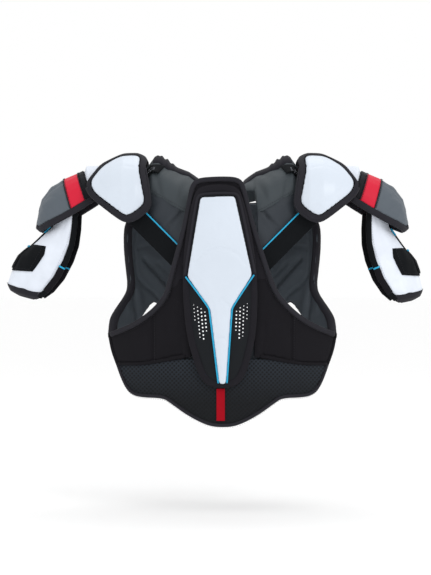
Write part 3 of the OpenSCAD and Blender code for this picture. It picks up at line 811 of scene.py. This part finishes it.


# The points a yoke would bend between as the chest opens, handed to bent, which does not use them
HINGE_FROM, HINGE_TO = (0, -0.045, 0), (0, 0.045, 0)
YOKE_STEPS = 52
for side, k in SIDES.items():
    xs = list(np.linspace(0.034, 0.0595, 10)) + list(np.linspace(0.0612, 0.141, 31))
    grid = []
    for x in xs:
        ends = 62, -yoke_angle(x, np.interp(x, *YOKE_REAR))
        angles = [ends[0] + (ends[1] - ends[0]) * j / YOKE_STEPS for j in range(YOKE_STEPS + 1)]
        # The front half stops short of the cap's front lobe
        grid.append([(x - max(0, x - 0.112) * 0.55 * np.clip(a / 22, 0, 1), a) for a in angles])
    soft = [0.0025 * (math.exp(-j / 1.2) + math.exp(-(YOKE_STEPS - j) / 1.2)) for j in range(YOKE_STEPS + 1)]
    outer = [[placed(on_yoke(x, a, yoke_relief(x, a) - soft[j]), k) for j, (x, a) in enumerate(row)]
             for row in grid]
    inner = [[placed(on_yoke(x, a, -0.0085 + soft[j]), k) for j, (x, a) in enumerate(row)] for row in grid]
    bent(sided_slab(f"yoke_{side}", outer, inner, "yoke_foam", k), "back", "chest", HINGE_FROM, HINGE_TO,
         [f"yoke_back_{side}", f"yoke_front_{side}"])
    # The skirt from under the yoke's rear seam down to the rear strap
    outer, inner = [], []
    for x in np.linspace(0.0612, 0.141, 30):
        start, end = np.interp(x, *YOKE_REAR) + 0.010, np.interp(x, *SKIRT_END)
        rows = []
        for j in range(25):
            z = start + (end - start) * j / 24
            sink = 0.0055 * math.exp(-((start - z) / 0.014) ** 2) + 0.006 * np.clip((x - 0.126) / 0.015, 0, 1)
            wrinkle = 0.0009 * math.sin((x + z * 0.8) * 150) * np.clip((start - z) / 0.02, 0, 1)
            fold = (0.0030 * math.exp(-((x + z * 0.72 - 0.012) / 0.0030) ** 2)
                    + 0.0026 * math.exp(-((x + z * 1.1 + 0.024) / 0.0026) ** 2))
            rows.append((x, z, 0.2866 - sink + wrinkle - fold * np.clip((start - z) / 0.012, 0, 1)))
        outer.append([placed(on_sheet(x, z, r, -1), k) for x, z, r in rows])
        inner.append([placed(on_sheet(x, z, r - 0.0028, -1), k) for x, z, r in rows])
    seated(sided_slab(f"yoke_skirt_{side}", outer, inner, "skirt_foam", k), "back")
    seam = [placed(on_yoke(x, -yoke_angle(x, np.interp(x, *YOKE_REAR)) + 3, 0.0006), k)
            for x in np.linspace(0.064, 0.138, 20)]
    sewn("back", f"yoke_seam_{side}", spaced(seam, 0.003), yoke_up)
    # The dark padded roll along the shoulder's crest
    outer, inner = [], []
    for x in np.linspace(0.036, 0.127, 64):
        profile = [crest_pad(x, t / 14) for t in range(-14, 15)]
        fade = min(1, (x - 0.0355) / 0.004, (0.1275 - x) / 0.003)
        outer.append([placed(on_yoke(x, a, lift * fade), k) for a, lift in profile])
        inner.append([placed(on_yoke(x, a, -0.0035), k) for a, lift in profile])
    bent(sided_slab(f"shoulder_roll_{side}", outer, inner, "binding", -k), "back", "chest",
         HINGE_FROM, HINGE_TO)
    # Neck binding
    neck = [placed(on_yoke(0.0335 + 0.0015 * abs(math.sin(math.radians(a))), a, -0.0045), k)
            for a in range(-70, 60, 3)]
    bent(sweep(f"neck_roll_{side}", neck, yoke_up, 0.0125, 0.0125, "binding", ripple=0.05), "back", "chest",
         HINGE_FROM, HINGE_TO, ["collar_back", "collar_front"] if k > 0 else ())
    bent(stitches(f"neck_stitch_{side}", neck, yoke_up, off=-0.005 * k, lift=0.005), "back", "chest",
         HINGE_FROM, HINGE_TO)

loop = [(-22, -96, -52), (-19, -95, -37), (-9, -94, -32), (9, -94, -32), (19, -95, -37), (22, -96, -52)]
loop = spaced(smoothed([Vector(p) * MM for p in loop]), 0.003)
up = lambda p: Vector((p.x * 0.6, 0, 1))
tape("back", "hang_loop_tape", loop, up, 0.0055, 0.0018, "webbing", square=0.4, replaces=["hang_loop"])

STRAP = [on_sheet(0.066, -0.184, 0.28835, -1), on_sheet(0.082, -0.168, 0.28845, -1),
         on_sheet(0.100, -0.150, 0.28845, -1), Vector((0.130, -0.083, -0.120)),
         Vector((0.156, -0.076, -0.094))]
STRAP_X = [p.x for p in STRAP]
strap_line = spaced(smoothed(STRAP), 0.0022)


def strap_across(x):
    """The direction across the elastic strap, towards its cyan edge."""
    return Vector((-0.72, -np.interp(x, STRAP_X, (0.17, 0.23, 0.27, 0.21, 0.16)), 0.69))


def strap_up(p, k):
    """The outward direction on the elastic strap."""
    a, b = (Vector(np.interp(abs(p.x) + h, STRAP_X, [q[i] for q in STRAP]) for i in range(3))
            for h in (-0.004, 0.004))
    return placed((b - a).cross(strap_across(abs(p.x))), k)


for side, k in SIDES.items():
    line = [placed(p, k) for p in strap_line]
    up = lambda p, k=k: strap_up(p, k)
    ends = (0.100 * k, -0.09, -0.150), (0.150 * k, -0.078, -0.098)
    bent(sweep(f"rear_elastic_{side}", line, up, 0.0335, 0.0025, "webbing", square=0.3, ripple=0.05),
         "back", f"{side}_cap", *ends, [f"rear_strap_{side}"])
    trim = [placed(p + strap_across(p.x) * 0.0186, k) for p in strap_line]
    bent(sweep(f"rear_elastic_edge_{side}", trim, up, 0.0026, 0.0026, "cyan_piping"),
         "back", f"{side}_cap", *ends, ["rear_strap_edge"] if k > 0 else ())
    for end, y in (("back", -1), ("front", 1)):
        body = "chest" if y > 0 else "back"
        reach = (0.104, 0.126) if y > 0 else (0.110, 0.140)
        line = spaced([placed(on_yoke(x, 36 * y, 0.0016), k) for x in np.linspace(*reach, 10)], 0.003)
        tape(body, f"tether_{end}_{side}", line, yoke_up, 0.028, 0.0020, "webbing", square=0.3,
             replaces=[f"cap_tether_{end}"] if k > 0 else ())
        for row in range(3):
            sewn(body, f"tether_stitch_{end}_{side}_{row}", line[4:], yoke_up, "white_thread", 0.0042,
                 0.0032, off=0.001 - row * 0.0042 * k * y, lift=0.0011, r=0.00025)

# ---------------------------------------------------------------- the chest
R_ARMHOLE = 0.2885
# Each line pressed into a lining's inner face, or raised from it: its outline, width and depth
LINING_CREASES = (
    ([(88, -232), (106, -214), (128, -188), (146, -168)], 0.0034, 0.0042),
    ([(84, -212), (100, -196), (122, -176)], 0.0026, 0.0022),
    ([(158, -284), (163, -250), (169, -212)], 0.0034, 0.0038),
    ([(104, -262), (126, -232), (150, -214), (160, -196)], 0.0030, 0.0030),
    ([(88, -75), (104, -68), (120, -64)], 0.0030, 0.0018),
    ([(160, -110), (163, -150), (160, -190)], 0.0026, 0.0022),
    ([(76, -104), (96, -124), (128, -134)], 0.004, 0.0024),
    ([(108, -150), (130, -140), (156, -148)], 0.0035, 0.0020),
    ([(98, -236), (120, -212), (142, -186)], 0.009, -0.0034),
    ([(150, -268), (158, -226)], 0.008, -0.0030),
    ([(174, -262), (180, -240)], 0.008, -0.0024),
    ([(116, -170), (140, -158)], 0.010, -0.0026),
    ([(84, -96), (112, -92)], 0.016, -0.002),
)
for side, k in SIDES.items():
    liner = remeshed(f"chest_lining_{side}", [f"chest_liner_{side}"], "grey_foam", 0.003, rounds=3)
    grooved(liner, lambda co: -OUT_CHEST(co), LINING_CREASES, r=R_LINER, side=1, k=k)
    seated(liner, "chest", [f"chest_liner_{side}"])

    pad = remeshed(f"chest_cover_{side}", [f"chest_pad_{side}"], "black_padding", 0.0045)
    quilt = [flat_path(line, R_SHELL, 1, k) for line in
             ([(30, -232), (90, -236), (172, -232)], [(166, -118), (165, -228)], [(100, -236), (104, -290)],
              [(150, -234), (152, -290)], [(30, -70), (30, -286)])]
    puff(pad, OUT_CHEST, quilt, travel=0.0035)
    for line in quilt:
        groove(pad, OUT_CHEST, line, 0.0022, 0.0014)
    seated(pad, "chest", [f"chest_pad_{side}"])
    for i, line in enumerate(quilt):
        sewn("chest", f"chest_quilt_{side}_{i}", line, UP_CHEST, lift=0.0002)

    rim = [(172, -100), (176, -112), (176, -150), (172, -190), (169.5, -212), (171, -228), (178, -242),
           (190, -260), (201, -279), (203, -305)]
    rim = flat_path(rim, R_ARMHOLE, 1, k)
    tape("chest", f"armhole_rim_{side}", rim, UP_CHEST, 0.0108, 0.0205, "binding", square=0.85, ripple=0.02,
         replaces=["armhole_binding"] if k > 0 else ())
    seated(sheet(f"armhole_gusset_{side}", range(184, 205, 2), range(-303, -287, 2),
                 lambda x, z: on_sheet(x * MM * k, z * MM, R_ARMHOLE, 1),
                 lambda x, z: on_sheet(x * MM * k, z * MM, 0.2865, 1), "grey_foam", k), "chest")
    sewn("chest", f"armhole_stitch_{side}", offset_path(rim, 1, 0.2805, -0.0052 * k), UP_CHEST)
    top = [(36, -64), (70, -62.5), (104, -62), (122, -82), (144, -93), (172, -103)]
    top = flat_path(top, 0.2925, 1, k)
    tape("chest", f"chest_top_edge_{side}", top, UP_CHEST, 0.0065, 0.0135, "binding", square=0.8)

PEC = [(40, -80), (118, -72), (158, -108), (156, -178), (120, -214), (58, -196), (34, -150)]
pecs = remeshed("pec_shells", ["pec_plates"], "white_shell", 0.0021, rounds=3)
for side, k in SIDES.items():
    centre = np.array(on_sheet(0.096 * k, -0.142, R_SHELL + 0.004, 1))
    co, n = coords(pecs), normals(pecs)
    d = OUT_CHEST(co)
    near = np.exp(-(((co - centre) / (0.045, 0.05, 0.05)) ** 2).sum(1))
    set_coords(pecs, co + d * (0.004 * near)[:, None])
    facet = [(50, -96), (112, -88), (144, -116), (142, -168), (114, -198), (66, -184), (48, -150)]
    groove(pecs, OUT_CHEST, flat_path(facet, R_SHELL + 0.004, 1, k, closed=True), 0.0028, 0.0012)
    ridge = flat_path([(62, -134), (96, -124), (134, -130)], R_SHELL + 0.006, 1, k)
    groove(pecs, OUT_CHEST, ridge, 0.0035, 0.0012)
    ring = flat_path(PEC, R_SHELL + 0.0008, 1, k, closed=True, rounds=3)
    ring = [on_sheet(p.x * 1.005 - 0.0004 * k, p.z, R_SHELL + 0.001, 1) for p in ring]
    tape("chest", f"pec_piping_{side}", ring, UP_CHEST, 0.0034, 0.0034, "binding", closed=True)
seated(pecs, "chest", ["pec_plates"])

sternum = remeshed("sternum_shell", ["sternum_plate"], "white_shell", 0.0019, rounds=3)
groove(sternum, OUT_CHEST, flat_path([(0, -106), (0, -226)], R_SHELL + 0.008, 1), 0.010, -0.0018)
for k in (1, -1):
    contour = [(16, -106), (21, -150), (18, -214), (34, -240), (30, -280), (11, -310)]
    groove(sternum, OUT_CHEST, flat_path(contour, R_SHELL + 0.0085, 1, k), 0.0024, 0.001)
notch = flat_path([(-20, -222), (0, -232), (20, -222)], R_SHELL + 0.0085, 1)
groove(sternum, OUT_CHEST, notch, 0.003, 0.0012)
seated(sternum, "chest", ["sternum_plate"])

belly = remeshed("belly_cover", ["belly_pad"], "embossed_mesh", 0.004)
quilt = [flat_path(line, R_SHELL - 0.002, 1) for line in
         ([(-176, -322), (-60, -338), (60, -338), (176, -322)], [(-70, -300), (-66, -380)],
          [(70, -300), (66, -380)], [(-130, -300), (-128, -366)], [(130, -300), (128, -366)])]
puff(belly, OUT_CHEST, quilt, travel=0.0035)
for line in quilt:
    groove(belly, OUT_CHEST, line, 0.0024, 0.0014)
seated(belly, "chest", ["belly_pad"])
HEM_FRONT = [(184, -299), (184.5, -338), (180, -344), (120, -371.5), (60, -384.5), (0, -385)]
hem = flat_path(both(HEM_FRONT, 1), R_SHELL - 0.0045, 1)
tape("chest", "belly_binding", hem, UP_CHEST, 0.0065, 0.0115, "binding", ripple=0.02,
     replaces=["belly_hem"])
waist = flat_path([(-186, -297), (-90, -295), (0, -294), (90, -295), (186, -297)], R_SHELL - 0.0038, 1)
tape("chest", "waist_tape", waist, UP_CHEST, 0.0125, 0.0098, "webbing", square=0.6)

for side, k in SIDES.items():
    line = [(192, -27, -318), (194.5, -15, -318), (195.6, 0, -318), (195.4, 18, -318), (192.5, 34, -318),
            (187.5, 50, -318)]
    line = spaced(smoothed([Vector((x * k, y, z)) * MM for x, y, z in line]), 0.003)
    up = lambda p, k=k: Vector((k, 0, 0))
    tape(f"{side}_side_strap", f"side_elastic_{side}", line, up, 0.028, 0.0026, "webbing", square=0.3,
         ripple=0.06, replaces=[f"side_strap_{side}"])
    hook = [p + Vector((0.0018 * k, 0, 0)) for p in line[:9]]
    tape(f"{side}_side_strap", f"side_strap_hook_{side}", hook, up, 0.025, 0.0018, "black_padding",
         square=0.3)
    for i, j in enumerate((9, 12)):
        bar = [line[j] + Vector((0.0013 * k, 0, h * MM)) for h in range(-12, 13, 3)]
        sewn(f"{side}_side_strap", f"side_strap_bar_{side}_{i}", bar, up)

# ---------------------------------------------------------------- shoulder caps
# Each cap's radius about its axis, against x
CAP_PROFILE = ([0.124, 0.140, 0.155, 0.180, 0.200, 0.221, 0.249],
               [0.091, 0.095, 0.101, 0.100, 0.095, 0.087, 0.077])
# The white shell's outline on the back and on the front
CAP_FACE = [(148, 15), (160, 19.5), (186, 17), (217, -3), (238, -32), (229, -51), (180, -88), (170, -93),
            (153, -84), (138, -70), (151, -5)]
CAP_FRONT = [(148, 15), (160, 19.5), (186, 17), (217, -3), (236, -25), (228, -37), (188, -47), (156, -47),
             (142, -39), (151, -5)]


def on_cap(x, z, side_y, lift=0.0):
    """The point of a cap's surface at (x, z), on the back (-1) or the front (1)."""
    r = np.interp(x, *CAP_PROFILE) + lift
    return Vector((x, side_y * math.sqrt(max(r * r - (z - CAP_Z) ** 2, 1e-8)), z))


def cap_up(p):
    """The outward direction on a cap."""
    return Vector((0.0, p.y, p.z - CAP_Z)).normalized()


for side, k in SIDES.items():
    body = f"{side}_cap"
    foam = remeshed(f"cap_foam_{side}", [f"cap_pad_{side}"], "black_padding", 0.004, rounds=3)
    seated(foam, body, [f"cap_pad_{side}"])
    rim = remeshed(f"cap_rim_{side}", [f"cap_binding_{side}"], "binding", 0.0022, rounds=4)
    puff(rim, OUT_CAP, travel=0.0026, pressure=6)
    seated(rim, body, [f"cap_binding_{side}"])
    face = remeshed(f"cap_face_{side}", [f"cap_plate_{side}"], "white_shell", 0.0019, rounds=3)
    co, n = coords(face), normals(face)
    d = OUT_CAP(co)
    centre = np.array([0.188 * k, 0, -0.034])
    near = np.exp(-(((co - centre) / (0.035, 1, 0.034)) ** 2).sum(1))
    set_coords(face, co + d * (0.0022 * near)[:, None])
    for y, line in ((-1, [(160, -6), (184, -2), (212, -14), (222, -30), (212, -46), (180, -70)]),
                    (1, [(164, -10), (190, -6), (214, -18), (220, -30), (204, -38), (160, -38)])):
        line = smoothed([placed(on_cap(x * MM, z * MM, y), k) for x, z in line])
        groove(face, OUT_CAP, line, 0.003, 0.0005)
    seated(face, body, [f"cap_plate_{side}"])
    for y, outline in ((-1, CAP_FACE), (1, CAP_FRONT)):
        mid = Vector((0.188, 0, -0.036))
        ring = []
        for p in spaced(smoothed([Vector((x * MM, 0, z * MM)) for x, z in outline], True, 3), 0.004, True):
            q = p + (p - mid).normalized() * 0.0022
            limit = np.interp(q.x, *CAP_PROFILE) + CAP_Z - 0.0005
            ring.append(placed(on_cap(q.x, min(q.z, limit), y, 0.0012), k))
        ring.append(ring[0])
        sewn(body, f"cap_stitch_{side}_{'back' if y < 0 else 'front'}", ring, cap_up, lift=0.0009)
    # Piping along the rear lobe's outer edge, where the binding is folded over
    outer = [(139, -8), (131, -50), (128, -77), (147, -95), (168, -104), (186, -96), (236, -57), (243, -43)]
    line = spaced(smoothed([placed(on_cap(x * MM, z * MM, -1, -0.003), k) for x, z in outer]), 0.004)
    tape(body, f"cap_welt_{side}", line, cap_up, 0.0055, 0.0105, "binding", ripple=0.03)

# ---------------------------------------------------------------- arm guards


def dome_path(sections, stops, side, lift=0.0, hang=False, step=0.004, rounds=2):
    """A line over a dome through (station, angle) stops, evenly spaced."""
    fine = []
    for (s0, a0), (s1, a1) in zip(stops[:-1], stops[1:]):
        fine += [(s0 + (s1 - s0) * t / 6, a0 + (a1 - a0) * t / 6) for t in range(6)]
    fine.append(stops[-1])
    pts = [placed(dome_point(sections, s, a, lift), side, hang) for s, a in fine]
    return spaced(smoothed(pts, False, rounds), step)


def dome_up(sections, side, hang=False):
    """The outward direction near a dome, from its nearest sampled point."""
    spots = [(s / 4, a) for s in range(0, (len(sections) - 1) * 4 + 1) for a in range(-90, 91, 10)]
    places = np.array([placed(dome_point(sections, s, a), side, hang) for s, a in spots])

    def up(p):
        s, a = spots[int(np.argmin(((places - np.array(p)) ** 2).sum(1)))]
        foot = dome_point(sections, s, a)
        tip = foot + dome_normal(sections, min(max(s, 0.03), len(sections) - 1.03), a) * 0.01
        return (placed(tip, side, hang) - placed(foot, side, hang)).normalized()
    return up


# Angles for a seam across the guard, and (station, angle) stops all round its lower edge
ACROSS = (-88, -45, 0, 45, 88)
STATIONS = (0.02, 1, 2, 3, 4, 5, 5.9)
GUARD_EDGE = ([(s, -90) for s in STATIONS] + [(5.98, -50), (5.98, 0), (5.98, 50)]
              + [(s, 90) for s in reversed(STATIONS)])
# Lines in the hood, or raised on it: start (station, angle), end (station, angle), width, depth
HOOD_LINES = (
    (2.1, -28, 5.4, -22, 0.005, 0.0014),
    (2.1, 28, 5.4, 22, 0.005, 0.0014),
    (2.4, -58, 4.6, -52, 0.009, -0.0014),
    (2.4, 58, 4.6, 52, 0.009, -0.0014),
    (3.0, -8, 4.6, -4, 0.010, -0.0020),
    (2.3, -72, 3.5, -36, 0.004, 0.0008),
    (3.2, -74, 4.4, -40, 0.004, 0.0009),
    (2.25, -10, 2.9, -34, 0.0035, 0.0008),
)
for side, k in SIDES.items():
    body, cap = f"{side}_arm_guard", f"{side}_cap"
    out, up = from_axis("guard", k), dome_up(GUARD, k)
    outer, inner = [], []
    for s in np.linspace(0.02, 1.98, 34):
        rise, end = np.clip((s - 0.5) / 0.45, 0, 1), 1 - 0.8 * np.clip((s - 1.72) / 0.25, 0, 1)
        lifts = [(a, 12.5 * math.exp(-((a / 27) ** 2)) * rise * end + 0.35 * math.sin(s * 9 + a * 0.05))
                 for a in range(-90, 91, 4)]
        outer.append([placed(dome_point(SLEEVE, s, a, up_by - 4.8), k) for a, up_by in lifts])
        inner.append([placed(dome_point(SLEEVE, s, a, up_by * 0.6 - 8.8), k) for a, up_by in lifts])
    bent(sided_slab(f"sleeve_cloth_{side}", outer, inner, "white_fabric", -k), cap, body,
         (0.200 * k, 0, -0.02), (0.245 * k, 0, -0.03), [f"sleeve_{side}"])
    for name, mat in ((f"arm_band_{side}", "band_grey"), (f"arm_stripe_{side}", "red_shell")):
        seated(remeshed(name, [name], mat, 0.0022, rounds=2), body, [name])
    hood = remeshed(f"arm_hood_{side}", [f"arm_shell_{side}"], "grey_shell", 0.0024, rounds=5)
    for s0, a0, s1, a1, w, deep in HOOD_LINES:
        line = dome_path(GUARD, [(s0, a0), ((s0 + s1) / 2, (a0 + a1) / 2 + 3), (s1, a1)], k)
        groove(hood, out, line, w, deep)
    seated(hood, body, [f"arm_shell_{side}"])
    for n, s in enumerate((1.0, 2.0)):
        seam = dome_path(GUARD, [(s, a) for a in ACROSS], k, lift=0.3)
        sewn(body, f"arm_seam_{side}_{n}", seam, up, off=0.0022, lift=0.0002)
        tape(body, f"arm_seam_cord_{side}_{n}", seam, up, 0.0016, 0.0012, "binding")
    mouth = dome_path(GUARD, [(0.04, a) for a in ACROSS], k, lift=-4.4)
    tape(body, f"arm_mouth_edge_{side}", mouth, up, 0.0026, 0.0072, "black_padding")
    drop = placed(Vector((-2.4, 0, -4.2)) * MM, k)
    edge = [p + drop for p in dome_path(GUARD, GUARD_EDGE, k, lift=-2)]
    tape(body, f"arm_binding_{side}", edge, up, 0.0118, 0.0078, "binding", ripple=0.03,
         replaces=[f"arm_binding_{side}"])
    sewn(body, f"arm_binding_stitch_{side}", edge[2:-2], up, off=0.0036, lift=0.0036)

# ---------------------------------------------------------------- flaps above the elbow


RIM_END = 6.95      # the station where the flap's end binding stops


def rim_start(angle):
    """The station where the flap's end binding begins, higher up towards the crest."""
    return 5.40 - 0.62 * math.exp(-((angle / 50) ** 2))


for side, k in SIDES.items():
    body, hang = f"{side}_flap", k < 0
    flap = FLAP_LEFT if hang else FLAP
    up = dome_up(flap, k, hang)
    at = lambda s, a, lift: placed(dome_point(flap, s, a, lift), k, hang)

    def patch(name, stations, angles, high, low, mat):
        """A slab over the flap: high and low give the lift, in millimetres, at (station, angle)."""
        return sheet(name, stations, angles, lambda s, a: at(s, a, high(s, a)),
                     lambda s, a: at(s, a, low(s, a)), mat, -k)

    cover = patch(f"flap_cover_{side}", np.linspace(0.02, 6.3, 62), np.linspace(-84, 84, 60),
                  lambda s, a: 0.9 - 1.4 * math.exp(-(84 - abs(a)) / 3), lambda s, a: -3.8, "white_fabric")
    puff(cover, from_axis("flap", k), travel=0.003)
    for y in (-1, 1):
        seam = dome_path(flap, [(0.4, 66 * y), (2.5, 62 * y), (4.4, 60 * y), (5.6, 52 * y)], k, 0, hang)
        groove(cover, from_axis("flap", k), seam, 0.0045, 0.0011)
    seated(cover, body, [f"flap_pad_{side}"])
    seated(patch(f"flap_lining_{side}", np.linspace(0.03, 6.3, 40), np.linspace(-86, 86, 40),
                 lambda s, a: -3.7, lambda s, a: -5.1, "black_padding"), body)
    for y in (-1, 1):
        name = "back" if y < 0 else "front"
        run = dome_path(flap, [(s, 87.5 * y) for s in (0, 1, 2, 3, 4, 5, 5.9)], k, -1.6, hang)
        tape(body, f"flap_edge_{side}_{name}", run, up, 0.0105, 0.0076, "webbing", square=0.7,
             replaces=[f"flap_strap_{side}"] if y < 0 else ())
        sleeve_run = dome_path(flap, [(s, 87 * y) for s in (3.45, 4, 4.6, 5.1)], k, -1.5, hang)
        tape(body, f"flap_edge_sleeve_{side}_{name}", sleeve_run, up, 0.0120, 0.0088, "black_padding",
             square=0.6)
        collar = dome_path(flap, [(3.38, 87 * y), (3.46, 87 * y)], k, -1.5, hang, step=0.001)
        tape(body, f"flap_edge_cuff_{side}_{name}", collar, up, 0.0126, 0.0096, "cyan_piping", square=0.6)
        run = dome_path(flap, [(0, 81 * y), (3, 81 * y), (6, 81 * y)], k, 0.9, hang)
        sewn(body, f"flap_edge_stitch_{side}_{name}", run, up, "white_thread", lift=0.0004)
    # End binding: wraps the pad's lower edge, wider at the outer corner
    station = lambda t, a: rim_start(a) + (RIM_END - rim_start(a)) * t
    rim = sheet(f"flap_rim_{side}", np.linspace(0, 1, 12), np.linspace(-89, 89, 72),
                lambda t, a: at(station(t, a), a, 2.4 - 2.2 * abs(2 * t - 1) ** 3),
                lambda t, a: at(station(t, a), a, -6.4 + 1.6 * abs(2 * t - 1) ** 3), "binding", -k)
    seated(rim, body, [f"flap_binding_{side}"])
    tops = dome_path(flap, [(rim_start(a) + 0.12, a) for a in range(-84, 85, 7)], k, 2.0, hang)
    sewn(body, f"flap_rim_stitch_{side}", tops, up, lift=0.0003)
    # Outer black edging and its cyan tip, from under the guard to the wrap tab
    lace = dome_path(flap, [(0.5, -2), (1.4, -2), (2.35, -2)], k, 1.6, hang)
    tape(body, f"flap_lace_{side}", lace, up, 0.0052, 0.0030, "webbing", square=0.5)
    tip = dome_path(flap, [(1.02, -9), (1.42, -6)], k, 2.2, hang, step=0.003)
    tape(body, f"flap_lace_tip_{side}", tip, up, 0.0060, 0.0030, "cyan_piping", square=0.4)
    tab_body = f"{side}_wrap_tab"
    # The tab: a soft flat square, its rear end slanting, folded double over the crest
    outer, inner = [], []
    for i in range(40):
        t = i / 39
        s = 2.28 + 1.55 * t
        first = -56 + 14 * abs(t - 0.35) ** 1.3 - 8 * t
        row = [(s + 0.10 * math.sin(math.pi * j / 47) * (t - 0.5), first + (14 - first) * j / 47)
               for j in range(48)]
        rim = lambda j: sum(math.exp(-n / 1.5) for n in (j, 47 - j, i, 39 - i))
        outer.append([at(ss, a, 3.6 - 0.8 * rim(j) + 0.35 * math.sin(a * 0.35 + s * 5))
                      for j, (ss, a) in enumerate(row)])
        inner.append([at(ss, a, 1.3) for ss, a in row])
    seated(sided_slab(f"wrap_tab_cloth_{side}", outer, inner, "webbing", -k), tab_body, [f"wrap_tab_{side}"])
    fold = patch(f"wrap_tab_fold_{side}", np.linspace(2.42, 3.74, 26), np.linspace(-17, 12, 16),
                 lambda s, a: 6.6 - 1.8 * abs((a + 2.5) / 14.5) ** 4 - 1.4 * abs((s - 3.08) / 0.66) ** 6,
                 lambda s, a: 2.2, "webbing")
    seated(fold, tab_body)
    hem = [(2.36, 12), (2.36, -20), (2.36, -49), (3.0, -52), (3.74, -52), (3.74, -20), (3.74, 12)]
    hem = dome_path(flap, hem, k, 3.7, hang, rounds=1)
    sewn(tab_body, f"wrap_tab_stitch_{side}", hem, up, lift=0.0002)
    pull = dome_path(flap, [(2.36, -14), (2.38, -4), (2.38, 10)], k, 5.2, hang, step=0.003)
    tape(tab_body, f"wrap_tab_pull_{side}", pull, up, 0.0036, 0.0036, "cyan_piping", square=0.6)

# ---------------------------------------------------------------- floor, light and camera
FLOOR_Z, FLOOR_HALF = -0.62, 60.0


def plain(name, colour, rough):
    """A material of one colour, without relief."""
    m = bpy.data.materials.new(name)
    m.use_nodes = True
    m.node_tree.nodes["Principled BSDF"].inputs["Base Color"].default_value = (*colour, 1)
    m.node_tree.nodes["Principled BSDF"].inputs["Roughness"].default_value = rough
    return m


MATS["floor"] = plain("floor", (0.985, 0.985, 0.985), 1.0)
corners = [(x * FLOOR_HALF, y * FLOOR_HALF, FLOOR_Z) for x, y in ((-1, -1), (1, -1), (1, 1), (-1, 1))]
make("floor", corners, [(0, 1, 2, 3)], "floor")

scene = bpy.context.scene
scene.view_settings.view_transform = "Standard"
world = bpy.data.worlds.new("studio")
scene.world = world
world.use_nodes = True
world.node_tree.nodes["Background"].inputs["Color"].default_value = (1, 1, 1, 1)
world.node_tree.nodes["Background"].inputs["Strength"].default_value = 1.0


def area(name, place, size, watts):
    """A round area light aimed at the middle of the pads."""
    light = bpy.data.lights.new(name, "AREA")
    light.shape, light.size, light.energy = "DISK", size, watts
    o = bpy.data.objects.new(name, light)
    scene.collection.objects.link(o)
    o.location = place
    o.rotation_euler = (Vector((0, 0, -0.2)) - Vector(place)).to_track_quat("-Z", "Y").to_euler()


area("key", (1.5, -2.1, 1.5), 1.2, 16)
area("fill", (-1.8, -1.8, 0.5), 1.4, 2)
area("top", (0.2, 0.8, 2.2), 1.6, 8)

camera = bpy.data.objects.new("camera", bpy.data.cameras.new("camera"))
scene.collection.objects.link(camera)
camera.data.lens, camera.data.sensor_width = 104.5, 36
camera.location = (-0.0126, -3.06, -0.2205)
camera.rotation_euler = (math.radians(90), 0, 0)
camera.data.clip_start, camera.data.clip_end = 0.1, 100
scene.camera = camera
